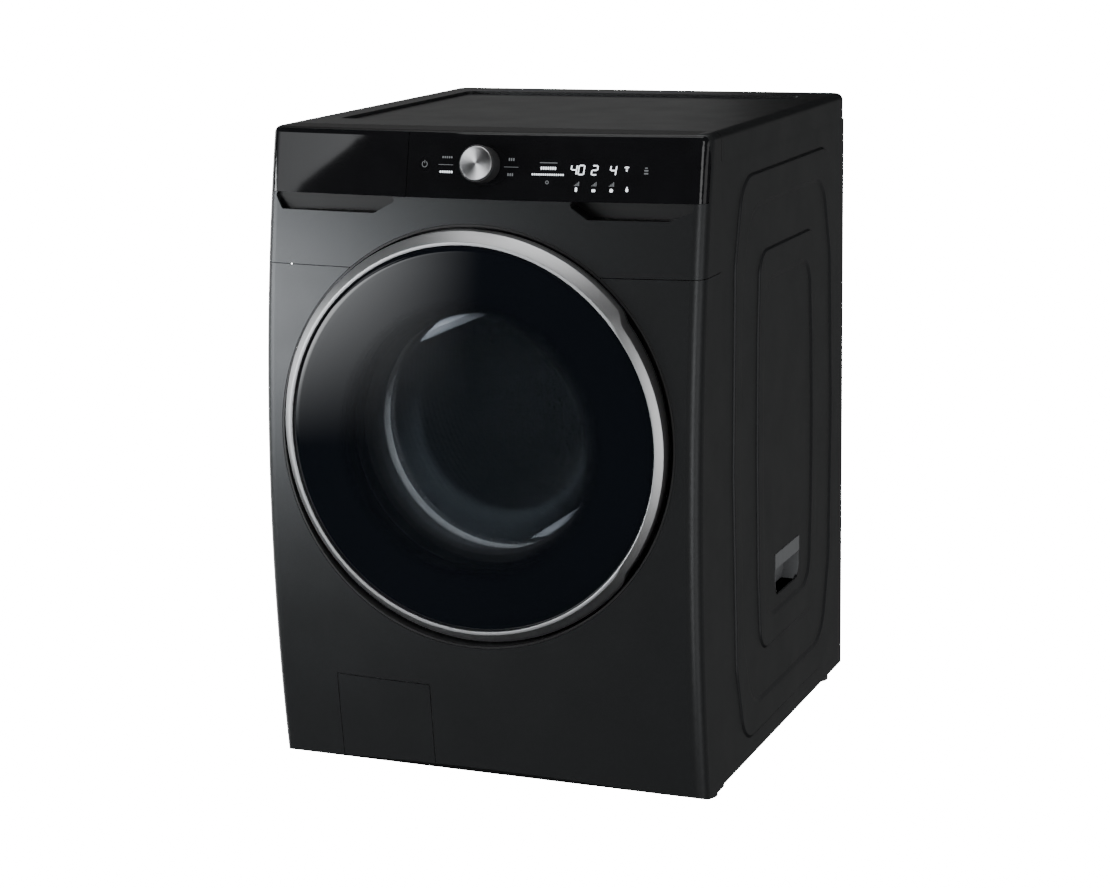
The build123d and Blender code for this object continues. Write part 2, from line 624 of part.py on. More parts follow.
def dome(r, edge_y, centre_y, back_y):
    """A disc with a domed front."""
    arc = ThreePointArc((-r, edge_y), (0, centre_y), (r, edge_y))
    half = make_face(arc + Polyline((r, edge_y), (r, back_y), (-r, back_y), (-r, edge_y)))
    half = half & (Pos(r, 0) * Rectangle(2 * r, 2 * DEPTH))
    return Pos(0, 0, DOOR_Z) * revolve(half, Axis.Y, 360)


def door_glass():
    outer = dome(GLASS_R, GLASS_EDGE_Y, FRONT_Y, DOOR_BACK_Y)
    inner = dome(GLASS_R + 5, GLASS_EDGE_Y + GLASS_T, FRONT_Y + GLASS_T, DOOR_BACK_Y + 5)
    return outer - inner


def hinge_notch(grow):
    """The room that the hinge arms sweep through in the door."""
    reach = 66.0
    notches = []
    for side in (-1, 1):
        z = DOOR_Z + side * HINGE_HALF
        notches.append(rod_z(HINGE_X, HINGE_Y, reach, z - HINGE_ARM_T / 2 - grow, z + HINGE_ARM_T / 2 + grow))
    return notches[0] + notches[1]


def door_frame():
    """The black inner ring that carries glass, bowl, hinge and hook."""
    y0 = GLASS_EDGE_Y + GLASS_T + 9
    r = RING_WALL_R - GRIP_CUT - 4
    ring = turned([(r, y0), (r, DOOR_BACK_Y), (WINDOW_R + 2, DOOR_BACK_Y), (WINDOW_R + 2, DOOR_BACK_Y - 5),
                   (r - 4, DOOR_BACK_Y - 5), (r - 4, y0)])
    ring += turned([(WINDOW_R + 2, FRONT_Y + 10.5), (WINDOW_R + 8, FRONT_Y + 10.5), (WINDOW_R + 8, DOOR_BACK_Y - 4),
                    (WINDOW_R + 2, DOOR_BACK_Y - 4)])
    ring -= hinge_notch(1.5)
    ring -= block(HINGE_X - 40, HINGE_X + 12, HINGE_Y - 8, HINGE_Y + 12, DOOR_Z - HINGE_HALF, DOOR_Z + HINGE_HALF)
    pin_y = DOOR_BACK_Y - 8
    ring += block(LATCH_X - 9, LATCH_X + 9, pin_y - 6, DOOR_BACK_Y - 5, DOOR_Z - 22, DOOR_Z + 22)
    ring -= block(LATCH_X - 10, LATCH_X + 10, pin_y - 7, DOOR_BACK_Y + 5, DOOR_Z - 10, DOOR_Z + 10)
    return ring - rod_z(LATCH_X, pin_y, LATCH_PIN_R + RUNNING, DOOR_Z - 30, DOOR_Z + 30)


def door_bowl():
    """The thick glass bowl that reaches into the gasket."""
    y0 = DOOR_BACK_Y - 4
    deep = y0 + BOWL_DEPTH
    wall = 5.0
    return turned([(WINDOW_R, y0), (WINDOW_R, y0 + 9), (168, y0 + 9), (BOWL_REAR_R, deep), (0, deep + 14),
                   (0, deep + 14 - wall), (BOWL_REAR_R - wall, deep - wall), (168 - wall, y0 + 5), (168 - wall, y0)])


def hinge_bracket():
    """A plate on the well's floor, with two arms that reach round to the hinge pin."""
    x1 = HINGE_X + HINGE_ARM_REACH
    top = DOOR_Z + HINGE_HALF + HINGE_ARM_T / 2
    low = DOOR_Z - HINGE_HALF - HINGE_ARM_T / 2
    solid = block(x1 - 14, x1 + 22, WELL_FLOOR_Y - 3, WELL_FLOOR_Y, low - 12, top + 12)
    for side in (-1, 1):
        z = DOOR_Z + side * HINGE_HALF
        z0, z1 = z - HINGE_ARM_T / 2, z + HINGE_ARM_T / 2
        solid += rod_z(HINGE_X, HINGE_Y, PIN_R + 1.5, z0, z1) + block(HINGE_X, x1 + 4, HINGE_Y - 4, HINGE_Y + 4, z0, z1)
        solid += block(x1 - 5, x1 + 4, HINGE_Y - 4, WELL_FLOOR_Y, z0, z1)
    return solid + rod_z(HINGE_X, HINGE_Y, PIN_R, low, top)


def hinge_leaf():
    """The barrel that turns on the pin, with a plate into the door's frame."""
    z0 = DOOR_Z - HINGE_HALF + HINGE_ARM_T / 2 + GAP
    z1 = DOOR_Z + HINGE_HALF - HINGE_ARM_T / 2 - GAP
    leaf = rod_z(HINGE_X, HINGE_Y, PIN_R + 2.2, z0, z1)
    leaf += block(HINGE_X, HINGE_X + 62, HINGE_Y + 2, HINGE_Y + 5, z0, z1)
    leaf += block(HINGE_X + 16, HINGE_X + 62, HINGE_Y + 5, DOOR_BACK_Y - 5, z0 + 2, z1 - 2)
    return leaf - rod_z(HINGE_X, HINGE_Y, PIN_R + RUNNING, z0 - 1, z1 + 1)


def bellows():
    """The folded rubber gasket between the well and the tub's mouth."""
    y0 = WELL_FLOOR_Y
    y1 = TUB_Y - 17
    m = MOUTH_R
    t = 3.0
    outer = [(m + 7, y0), (m + 7, y0 + WELL_T + 6), (m + 14, y0 + WELL_T + 6), (m + 14, y0 + 22), (m + 1, y0 + 26),
             (m + 1, y1)]
    inner = [(m + 1 - t, y1), (m + 1 - t, y0 + 26 - t), (m + 14 - t, y0 + 22 - t), (m + 14 - t, y0 + WELL_T + 9),
             (m + 4, y0 + WELL_T + 9), (m + 4, y0 + 4), (m - 8, y0 + 10), (m - 10, y0 + 8), (m - 2, y0)]
    return turned(outer + inner)


# --- Wash unit ------------------------------------------------------------------------------------

def tub_front():
    y0, y1 = TUB_Y, TUB_Y + TUB_SPLIT
    r, w, m = TUB_R, TUB_WALL, MOUTH_R
    return turned([(m - 2, y0 - 16), (m + 2, y0 - 16), (m + 2, y0), (r, y0), (r, y1), (r - w, y1), (r - w, y0 + w),
                   (m - 2, y0 + w)])


def tub_rear():
    y0, y1 = TUB_Y + TUB_SPLIT, TUB_BACK_Y
    r, w = TUB_R, TUB_WALL
    wall = turned([(r, y0), (r, y1), (BEARING_R, y1), (BEARING_R, y1 - w), (r - w, y1 - w), (r - w, y0)])
    hub = tube_y(0, DOOR_Z, HUB_R, BEARING_R, y1 - 20, y1 + 30)
    wall = wall - rod_y(0, DOOR_Z, HUB_R, y1 - 20, y1 + 30) + hub
    ears = [block(s * SPRING_X - 12, s * SPRING_X + 12, SPRING_Y - 10, SPRING_Y + 10, EAR_Z - 60, EAR_Z) for s in (-1, 1)]
    core = rod_y(0, DOOR_Z, r - w, y0 - 20, y1)
    lugs = [block(s * DAMPER_X - 12, s * DAMPER_X + 12, DAMPER_Y - 12, DAMPER_Y + 12, LUG_Z, LUG_Z + 60) for s in (-1, 1)]
    for piece in ears + lugs:
        wall += piece - core
    return wall


SPRING_Y = TUB_Y + TUB_SPLIT + 40.0
DAMPER_Y = TUB_Y + TUB_SPLIT + 40.0
EAR_Z = DOOR_Z + math.sqrt(TUB_R ** 2 - SPRING_X ** 2) + 36.0
LUG_Z = DOOR_Z - math.sqrt(TUB_R ** 2 - DAMPER_X ** 2) - 30.0


def drum_shell():
    """The drum's wall and its rolled front with the mouth."""
    y0, y1 = DRUM_Y, DRUM_BACK_Y
    r, w, m = DRUM_R, DRUM_WALL, DRUM_MOUTH_R
    return turned([(m, y0), (r - 14, y0), (r, y0 + 14), (r, y1), (r - w, y1), (r - w, y0 + 15), (r - 15, y0 + w),
                   (m + w, y0 + w), (m + w, y0 + 12), (m, y0 + 12)])


def drum_back():
    y1 = DRUM_BACK_Y
    w, r = DRUM_WALL, DRUM_R - DRUM_WALL
    front, dish = y1 - 9 - w, 14.0
    line = [(0, front), (SHAFT_R + 45, front), (SHAFT_R + 60, front - dish), (SHAFT_R + 100, front - dish),
            (SHAFT_R + 115, front), (r, front)]
    return turned(line + [(radius, y + w) for radius, y in reversed(line)])


def lifters():
    """Three hollow paddles along the drum, all alike."""
    low = DRUM_R - DRUM_WALL
    half, tip = 30.0, 10.0
    corners = [(-half, low - 2), (half, low - 2), (tip, low - LIFTER_H), (-tip, low - LIFTER_H)]
    section = make_face(Polyline(corners, close=True))
    section = fillet([v for v in section.vertices() if v.Y < low - LIFTER_H + 1], 8.0)
    length = DRUM_LENGTH - 70
    core = Pos(0, -LIFTER_WALL, 0) * extrude(Plane.XZ * offset(section, -LIFTER_WALL), length - 2 * LIFTER_WALL)
    bar = extrude(Plane.XZ * section, length) - core
    bar = Pos(0, DRUM_BACK_Y - 30, 0) * bar
    bar = bar & rod_y(0, 0, low, DRUM_Y, DRUM_BACK_Y)
    places = [Pos(0, 0, DOOR_Z) * Rot(0, 180 + i * 360 / LIFTER_COUNT, 0) * bar for i in range(LIFTER_COUNT)]
    return Compound(children=places)


def drum_shaft():
    """The shaft and its three-armed spider."""
    y0 = DRUM_BACK_Y - 9
    shaft = rod_y(0, DOOR_Z, SHAFT_R, y0, PULLEY_Y + PULLEY_W + 6) + rod_y(0, DOOR_Z, 34, y0, y0 + 14)
    for i in range(3):
        arm = block(-16, 16, y0, y0 + 10, 20, DRUM_R - DRUM_WALL - 1)
        shaft += Pos(0, 0, DOOR_Z) * Rot(0, 60 + i * 120, 0) * arm
    return shaft


def bearings():
    rings = [tube_y(0, DOOR_Z, BEARING_R, SHAFT_R + RUNNING, y, y + BEARING_W) for y in (TUB_BACK_Y - 18, TUB_BACK_Y + 12)]
    return Compound(children=rings)


def drum_pulley():
    rim = tube_y(0, DOOR_Z, PULLEY_R, PULLEY_R - 10, PULLEY_Y, PULLEY_Y + PULLEY_W)
    hub = tube_y(0, DOOR_Z, 30, SHAFT_R, PULLEY_Y, PULLEY_Y + PULLEY_W)
    spokes = tube_y(0, DOOR_Z, PULLEY_R - 10, 30, PULLEY_Y + 6, PULLEY_Y + 10)
    for i in range(6):
        a = math.radians(60 * i)
        spokes -= rod_y(88 * math.cos(a), DOOR_Z + 88 * math.sin(a), 30, PULLEY_Y, PULLEY_Y + PULLEY_W)
    return rim + hub + spokes


def belt_outline(grow):
    """The outline round both pulleys, as their common tangents and arcs."""
    dx, dz = MOTOR_X, MOTOR_Z - DOOR_Z
    reach = math.hypot(dx, dz)
    big, small = PULLEY_R + grow, MOTOR_PULLEY_R + grow
    along = math.atan2(dz, dx)
    swing = math.acos((big - small) / reach)

    def at(cx, cz, r, a):
        return cx + r * math.cos(a), cz + r * math.sin(a)

    a0, a1 = along - swing, along + swing
    p = [at(0, DOOR_Z, big, a1), at(0, DOOR_Z, big, along + math.pi), at(0, DOOR_Z, big, a0)]
    q = [at(MOTOR_X, MOTOR_Z, small, a0), at(MOTOR_X, MOTOR_Z, small, along), at(MOTOR_X, MOTOR_Z, small, a1)]
    edges = ThreePointArc(*p) + Line(p[2], q[0]) + ThreePointArc(*q) + Line(q[2], p[0])
    return Plane.XZ * make_face(edges)


def drive_belt():
    loop = belt_outline(GAP + BELT_T) - belt_outline(GAP)
    return Pos(0, PULLEY_Y + PULLEY_W - 2, 0) * extrude(loop, PULLEY_W - 4)


def motor():
    y0 = PULLEY_Y - 20 - MOTOR_LENGTH
    body = rod_y(MOTOR_X, MOTOR_Z, MOTOR_R, y0, PULLEY_Y - 20)
    body = fillet(body.edges(), 8.0)
    body += block(MOTOR_X - 20, MOTOR_X + 20, y0 + 20, y0 + 60, MOTOR_Z, DOOR_Z - TUB_R + 2) - \
        rod_y(0, DOOR_Z, TUB_R, y0, PULLEY_Y)
    return body - rod_y(MOTOR_X, MOTOR_Z, 6 + RUNNING, y0 + 40, PULLEY_Y)


def motor_pulley():
    wheel = rod_y(MOTOR_X, MOTOR_Z, MOTOR_PULLEY_R, PULLEY_Y - 4, PULLEY_Y + PULLEY_W)
    return wheel + rod_y(MOTOR_X, MOTOR_Z, 6, PULLEY_Y - MOTOR_LENGTH + 25, PULLEY_Y)


def counterweight_upper():
    block_top = tube_y(0, DOOR_Z, TUB_R + 36, TUB_R, TUB_Y + 60, TUB_Y + 230)
    return block_top & sector(58, 122, TUB_R + 80, TUB_Y, TUB_Y + 400)


def counterweight_front():
    ring = tube_y(0, DOOR_Z, TUB_R - 8, MOUTH_R + 18, TUB_Y - 34, TUB_Y)
    return ring & sector(195, 345, TUB_R + 80, TUB_Y - 60, TUB_Y)


def damper_cylinders():
    pieces = []
    for side in (-1, 1):
        x = side * DAMPER_X
        cup = rod_z(x, DAMPER_Y, DAMPER_R, BASE_Z + SHEET, BASE_Z + 170)
        pieces.append(cup - rod_z(x, DAMPER_Y, ROD_R + RUNNING, BASE_Z + 40, BASE_Z + 171))
    return Compound(children=pieces)


def damper_rods():
    rods = [rod_z(s * DAMPER_X, DAMPER_Y, ROD_R, BASE_Z + 90, LUG_Z) for s in (-1, 1)]
    return Compound(children=rods)


def springs():
    coils = []
    for side in (-1, 1):
        low, high = EAR_Z, RAIL_Z - 20
        pitch = (high - low - SPRING_WIRE - 2) / SPRING_TURNS
        path = Helix(pitch, pitch * SPRING_TURNS, SPRING_R)
        section = Plane(origin=path @ 0, z_dir=path % 0) * Circle(SPRING_WIRE / 2)
        coil = Pos(side * SPRING_X, SPRING_Y, low + SPRING_WIRE / 2 + 1) * sweep(section, path, is_frenet=True)
        coils.append(coil)
    return Compound(children=coils)


def spring_rail():
    """The bar across the top of the cabinet that carries the wash unit."""
    edge = PANEL_X - SHEET - GAP
    rail = block(-edge, edge, SPRING_Y - 22, SPRING_Y + 22, RAIL_Z - 20, RAIL_Z)
    return rail - block(-edge - 1, edge + 1, SPRING_Y - 20, SPRING_Y + 20, RAIL_Z - 18, RAIL_Z + 1)


# --- Water ------------------------------------------------------------------------------------------

def drawer_housing():
    g = HOUSING_GAP
    y0 = HOUSING_Y
    y1 = y0 + TRAY_LENGTH + 8
    case = block(TRAY_LEFT - 2 * g, TRAY_RIGHT + 2 * g, y0, y1, TRAY_LOW - 2 * g, TRAY_HIGH + 2 * g)
    return case - block(TRAY_LEFT - g, TRAY_RIGHT + g, y0 - 1, y1 - g, TRAY_LOW - g, TRAY_HIGH + g)


def drawer_tray():
    """Three compartments, open above."""
    y0 = TRAY_Y
    y1 = y0 + TRAY_LENGTH
    w = TRAY_WALL
    tray = block(TRAY_LEFT, TRAY_RIGHT, y0, y1, TRAY_LOW, TRAY_HIGH)
    for x0, x1, y_end in tray_cells():
        tray -= block(x0, x1, y0 + w, y_end - w, TRAY_LOW + w, TRAY_HIGH + 1)
    return tray


def tray_cells():
    """The compartments as (left, right, back end)."""
    y1 = TRAY_Y + TRAY_LENGTH
    w = TRAY_WALL
    third = (TRAY_RIGHT - TRAY_LEFT - w) / 3
    return [(TRAY_LEFT + w + i * third, TRAY_LEFT + (i + 1) * third, y1) for i in range(3)]


def siphon_cap():
    """The lid over the softener compartment's back."""
    x0, x1, y1 = tray_cells()[1]
    z = TRAY_HIGH - 1
    lid = block(x0 + GAP, x1 - GAP, y1 - 90, y1 - TRAY_WALL - GAP, z - 3, z)
    return lid + rod_z((x0 + x1) / 2, y1 - 40, 8, TRAY_LOW + 12, z - 2)


def drawer_front():
    zone = fascia_zone(-HALF + FASCIA_EDGE, DRAWER_SEAM - SEAM / 2)
    skin = (OUTER - DRAWER_BED) & zone
    back = block(TRAY_LEFT + 6, TRAY_RIGHT - 6, FRONT_Y, TRAY_Y, TRAY_LOW + 4, TRAY_HIGH - 4)
    return skin + (back & DRAWER_BED)


def filter_flap():
    """The service flap, with a pin along its lower edge."""
    zone = block(FLAP_LEFT, FLAP_RIGHT, FRONT_Y, SEAM_Y, FLAP_LOW, FLAP_HIGH)
    web = block(FLAP_LEFT + 2, FLAP_RIGHT - 2, FLAP_PIN_Y - 14, FLAP_PIN_Y, FLAP_PIN_Z - 1.5, FLAP_PIN_Z + 1.5)
    return ((OUTER - INNER) & zone) + (web & INNER) + flap_pin(FLAP_PIN_R)


def drain_pump():
    y0 = PUMP_Y
    case = tube_y(FILTER_X, FILTER_Z, FILTER_R + 6, FILTER_R + 1, y0, y0 + 120)
    case += rod_y(FILTER_X, FILTER_Z, FILTER_R + 6, y0 + 120, y0 + 126)
    case += rod_y(FILTER_X, FILTER_Z, 26, y0 + 126, y0 + 200)
    foot = block(FILTER_X - 30, FILTER_X + 30, y0 + 60, y0 + 110, BASE_Z + SHEET, FILTER_Z - FILTER_R + 2)
    return case + (foot - rod_y(FILTER_X, FILTER_Z, FILTER_R + 3, y0, y0 + 130))


def pump_filter():
    """A screw cap with a finger bar, and the lint basket behind it."""
    y0 = PUMP_Y
    cap = rod_y(FILTER_X, FILTER_Z, FILTER_R, y0 - 8, y0 + 14)
    bar = block(FILTER_X - 5, FILTER_X + 5, y0 - 20, y0 - 7, FILTER_Z - FILTER_R + 4, FILTER_Z + FILTER_R - 4)
    basket = tube_y(FILTER_X, FILTER_Z, FILTER_R - 6, FILTER_R - 9, y0 + 12, y0 + 100)
    return cap + bar + basket


def inlet_valve():
    case = block(INLET_X - 26, INLET_X + INLET_SPACING + 26, BACK_Y - SHEET - 46, BACK_Y - SHEET - GAP, INLET_Z - 24,
                 INLET_Z + 24)
    for x in INLET_PLACES:
        case += rod_y(x, INLET_Z, INLET_R, BACK_Y - SHEET - 2, DEPTH / 2)
    for x in INLET_PLACES:
        case -= rod_y(x, INLET_Z, INLET_R - 4, BACK_Y - 12, DEPTH / 2 + 1)
    return case


def drain_outlet():
    spout = rod_y(OUTLET_X, OUTLET_Z, OUTLET_R, BACK_Y - 30, BACK_Y + 18)
    flange = tube_y(OUTLET_X, OUTLET_Z, OUTLET_R + 9, OUTLET_R, BACK_Y, BACK_Y + 3)
    return spout + flange - rod_y(OUTLET_X, OUTLET_Z, OUTLET_R - 2.5, BACK_Y - 31, BACK_Y + 19)


def cord_gland():
    body = tube_y(GLAND_X, GLAND_Z, GLAND_R, 4.5, BACK_Y, BACK_Y + 8)
    return body + tube_y(GLAND_X, GLAND_Z, GLAND_R - 3, 4.5, BACK_Y - 8, BACK_Y + 1)


def transit_caps():
    caps = []
    for x in (-TRANSIT_X, TRANSIT_X):
        for z in (TRANSIT_LOW, TRANSIT_HIGH):
            caps.append(rod_y(x, z, TRANSIT_R + 4, BACK_Y, BACK_Y + 3) + rod_y(x, z, TRANSIT_R, BACK_Y - 8, BACK_Y))
    return Compound(children=caps)


def fasteners():
    """The hex-head screws along the rear panel's edges and round its cover, and the feet's lock nuts."""
    heads = []
    for x in (-PANEL_X + 12, PANEL_X - 12):
        for i in range(5):
            z = BASE_Z + 40 + i * (SKIRT_Z - BASE_Z - 80) / 4
            heads.append(Pos(x, BACK_Y, z) * Rot(-90, 0, 0) * extrude(RegularPolygon(5, 6), 3))
    for i in range(8):
        a = math.radians(22.5 + 45 * i)
        x, z = (COVER_R - 7) * math.cos(a), DOOR_Z + (COVER_R - 7) * math.sin(a)
        heads.append(Pos(x, BACK_Y + 6, z) * Rot(-90, 0, 0) * extrude(RegularPolygon(5, 6), 3))
    return Compound(children=heads + foot_nuts())


PARTS = {
    "front_panel": front_panel,
    "control_frame": control_frame,
    "fascia_glass": fascia_glass,
    "power_button": power_button,
    "display_module": display_module,
    "dial_knob": dial_knob,
    "dial_cap": dial_cap,
    "base_frame": base_frame,
    "rear_panel": rear_panel,
    "rear_cover": rear_cover,
    "top_cover": top_cover,
    "top_inset": top_inset,
    "door_surround": door_surround,
    "door_lock": door_lock,
    "latch_hook": latch_hook,
    "door_ring": door_ring,
    "door_handle": door_handle,
    "door_glass": door_glass,
    "door_frame": door_frame,
    "door_bowl": door_bowl,
    "hinge_bracket": hinge_bracket,
    "hinge_leaf": hinge_leaf,
    "bellows": bellows,
    "tub_front": tub_front,
    "tub_rear": tub_rear,
    "drum_shell": drum_shell,
    "drum_back": drum_back,
    "lifters": lifters,
    "drum_shaft": drum_shaft,
    "bearings": bearings,
    "drum_pulley": drum_pulley,
    "drive_belt": drive_belt,
    "motor": motor,
    "motor_pulley": motor_pulley,
    "counterweight_upper": counterweight_upper,
    "counterweight_front": counterweight_front,
    "damper_cylinders": damper_cylinders,
    "damper_rods": damper_rods,
    "springs": springs,
    "spring_rail": spring_rail,
    "drawer_housing": drawer_housing,
    "drawer_tray": drawer_tray,
    "siphon_cap": siphon_cap,
    "drawer_front": drawer_front,
    "filter_flap": filter_flap,
    "drain_pump": drain_pump,
    "pump_filter": pump_filter,
    "inlet_valve": inlet_valve,
    "drain_outlet": drain_outlet,
    "cord_gland": cord_gland,
    "transit_caps": transit_caps,
    "fasteners": fasteners,
}

os.makedirs("parts", exist_ok=True)
for name, make in PARTS.items():
    export_step(make(), f"parts/{name}.step")
for name, side in SIDES:
    export_step(side_panel(side), f"parts/side_panel_{name}.step")
    export_step(side_grip(side), f"parts/side_grip_{name}.step")
for name, place in zip(FOOT_NAMES, FOOT_PLACES):
    export_step(foot(*place), f"parts/{name}.step")
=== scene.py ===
import bmesh
import bpy
import json
import math
from mathutils import Matrix, Vector


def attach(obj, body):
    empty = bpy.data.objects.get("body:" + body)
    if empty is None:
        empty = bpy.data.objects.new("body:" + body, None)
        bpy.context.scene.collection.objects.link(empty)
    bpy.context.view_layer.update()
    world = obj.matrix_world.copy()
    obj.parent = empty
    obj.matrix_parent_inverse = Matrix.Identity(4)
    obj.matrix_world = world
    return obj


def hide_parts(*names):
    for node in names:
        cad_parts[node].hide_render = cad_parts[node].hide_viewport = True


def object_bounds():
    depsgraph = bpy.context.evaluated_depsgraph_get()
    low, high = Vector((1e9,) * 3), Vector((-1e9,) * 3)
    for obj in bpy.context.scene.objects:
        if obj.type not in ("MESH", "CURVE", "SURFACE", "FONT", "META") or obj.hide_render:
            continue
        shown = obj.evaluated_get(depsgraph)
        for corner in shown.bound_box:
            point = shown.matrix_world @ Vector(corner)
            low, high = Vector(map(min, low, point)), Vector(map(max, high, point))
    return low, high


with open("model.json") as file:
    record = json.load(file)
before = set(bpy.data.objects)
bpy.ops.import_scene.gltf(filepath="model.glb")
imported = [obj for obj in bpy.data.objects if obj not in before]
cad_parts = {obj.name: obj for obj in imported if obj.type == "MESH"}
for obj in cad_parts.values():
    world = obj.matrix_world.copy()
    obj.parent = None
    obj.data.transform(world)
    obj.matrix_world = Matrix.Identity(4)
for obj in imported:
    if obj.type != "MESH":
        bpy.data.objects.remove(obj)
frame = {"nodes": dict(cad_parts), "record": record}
cad_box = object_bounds()
NODES = frame["nodes"]

# Shapes are given in millimetres; MM turns them into the frame's metres. Bump depths are in metres.
MM = 0.001
DOOR_Z = 545.0
FRONT_Y = cad_box[0].y / MM
FACE_Y = FRONT_Y + 3.0
SEAM_Y = FRONT_Y + 135.0
DRUM_FRONT, DRUM_BACK = FRONT_Y + 150.0, FRONT_Y + 600.0
# The front face bows back above and below one height, and towards both sides.
FACE_MID_Z, BOW_UP, BOW_ACROSS = 389.0, 2740.0, 2685.0


# --- Materials --------------------------------------------------------------------------------

class Shader:
    """A Principled material and short ways to wire procedural detail into it."""

    def __init__(self, name, color, rough, metal=0.0, **sockets):
        self.mat = bpy.data.materials.new(name)
        self.mat.use_nodes = True
        self.tree = self.mat.node_tree
        self.bsdf = self.tree.nodes["Principled BSDF"]
        self.color, self.rough = color, rough
        self.set(Base_Color=(*color, 1), Roughness=rough, Metallic=metal, **sockets)
        self.height = None

    def set(self, **sockets):
        for key, value in sockets.items():
            self.bsdf.inputs[key.replace("_", " ")].default_value = value

    def node(self, kind, **props):
        made = self.tree.nodes.new("ShaderNode" + kind)
        for key, value in props.items():
            setattr(made, key, value)
        return made

    def wire(self, a, b):
        self.tree.links.new(a, b)

    def feed(self, socket, value):
        if isinstance(value, (int, float, tuple)):
            socket.default_value = value
        else:
            self.wire(value, socket)

    def math(self, op, a, b=0.0, clamp=False):
        made = self.node("Math", operation=op, use_clamp=clamp)
        self.feed(made.inputs[0], a)
        self.feed(made.inputs[1], b)
        return made.outputs[0]

    def where(self, scale=(1, 1, 1), turn=(0, 0, 0), offset=(0, 0, 0)):
        """Object coordinates, stretched."""
        made = self.node("Mapping")
        self.wire(self.node("TexCoord").outputs["Object"], made.inputs["Vector"])
        made.inputs["Scale"].default_value = scale
        made.inputs["Rotation"].default_value = turn
        made.inputs["Location"].default_value = offset
        return made.outputs["Vector"]

    def split(self, vector):
        """A vector's three components."""
        made = self.node("SeparateXYZ")
        self.wire(vector, made.inputs[0])
        return made.outputs

    def away(self, x, z, flat=(1, 0, 1)):
        """Distance in metres from an axis along Y (or, with another flat, along the zeroed direction)."""
        made = self.node("VectorMath", operation="LENGTH")
        self.wire(self.where(flat, offset=(-x, 0, -z)), made.inputs[0])
        return made.outputs["Value"]

    def noise(self, scale, detail=3.0, vector=None, **props):
        made = self.node("TexNoise", **props)
        self.wire(vector or self.where(), made.inputs["Vector"])
        made.inputs["Scale"].default_value = scale
        made.inputs["Detail"].default_value = detail
        return made.outputs["Fac"]

    def voronoi(self, scale, vector=None, feature="F1", out="Distance"):
        made = self.node("TexVoronoi", feature=feature)
        self.wire(vector or self.where(), made.inputs["Vector"])
        made.inputs["Scale"].default_value = scale
        return made.outputs[out]

    def remap(self, value, lo, hi, out_lo=0.0, out_hi=1.0):
        made = self.node("MapRange")
        self.wire(value, made.inputs["Value"])
        for key, number in zip(("From Min", "From Max", "To Min", "To Max"), (lo, hi, out_lo, out_hi)):
            made.inputs[key].default_value = number
        return made.outputs["Result"]

    def tint(self, value, other, base=None):
        """Base colour runs from the material's own to another as value goes from 0 to 1."""
        made = self.node("Mix", data_type="RGBA")
        self.wire(value, made.inputs[0])
        if base is None:
            made.inputs[6].default_value = (*self.color, 1)
        else:
            self.wire(base, made.inputs[6])
        made.inputs[7].default_value = (*other, 1)
        self.wire(made.outputs[2], self.bsdf.inputs["Base Color"])
        return made.outputs[2]

    def roughen(self, value, other):
        self.wire(self.remap(value, 0.3, 0.7, self.rough, other), self.bsdf.inputs["Roughness"])

    def bump(self, value, distance, strength=1.0):
        made = self.node("Bump")
        made.inputs["Strength"].default_value = strength
        made.inputs["Distance"].default_value = distance
        self.wire(value, made.inputs["Height"])
        if self.height:
            self.wire(self.height, made.inputs["Normal"])
        self.height = made.outputs["Normal"]
        self.wire(self.height, self.bsdf.inputs["Normal"])


PAINT, PAINT_FLAKE, PAINT_METAL = (0.034, 0.0355, 0.037), (0.05, 0.0525, 0.055), 0.7


def paint(name):
    """Dark metallic paint: fine flakes, a slight orange peel. Also gives the flaked colour's socket."""
    s = Shader(name, PAINT, 0.34, PAINT_METAL, Coat_Weight=0.15, Coat_Roughness=0.25)
    flaked = s.tint(s.remap(s.noise(2600, 1), 0.35, 0.7), PAINT_FLAKE)
    s.bump(s.noise(420, 2), 0.00003, 0.4)
    return s, flaked


def graphite():
    s, _ = paint("graphite_paint")
    s.roughen(s.noise(14, 4), 0.39)
    return s.mat


def graphite_recess_shade():
    """The same paint with painted shade: black, duller and not metallic inside the finger recesses, more than
    4 mm behind the bowed face.
    """
    s, flaked = paint("graphite_recess_shade")
    x, y, z = s.split(s.where())
    rise = s.math("POWER", s.math("SUBTRACT", z, FACE_MID_Z * MM), 2)
    out = s.math("POWER", s.math("ABSOLUTE", x), 2)
    bow = s.math("ADD", s.math("DIVIDE", rise, 2 * BOW_UP * MM), s.math("DIVIDE", out, 2 * BOW_ACROSS * MM))
    deep = s.math("GREATER_THAN", s.math("SUBTRACT", y, s.math("ADD", bow, FACE_Y * MM)), 4 * MM)
    painted_shade_mask = s.math("MULTIPLY", deep, s.math("LESS_THAN", s.math("ABSOLUTE", x), 322 * MM))
    # Painted shade: the recesses are coloured near black, standing in for the shadow under the fascia.
    s.tint(painted_shade_mask, (0.004, 0.004, 0.0045), flaked)
    s.wire(s.remap(painted_shade_mask, 0, 1, PAINT_METAL, 0.0), s.bsdf.inputs["Metallic"])
    s.wire(s.remap(painted_shade_mask, 0, 1, 0.36, 0.5), s.bsdf.inputs["Roughness"])
    return s.mat


def gloss_black(name):
    s = Shader(name, (0.004, 0.004, 0.0045), 0.035, IOR=1.5)
    s.tint(s.noise(30, 5), (0.0065, 0.0067, 0.0075))
    s.roughen(s.noise(9, 5), 0.06)
    return s.mat


def moulded(name, color, other, rough, grain=900, depth=0.00004):
    """Moulded plastic or rubber with a fine grain."""
    s = Shader(name, color, rough)
    s.tint(s.noise(grain / 6, 4), other)
    s.roughen(s.noise(24, 4), min(1.0, rough + 0.12))
    s.bump(s.voronoi(grain), depth, 0.5)
    return s.mat


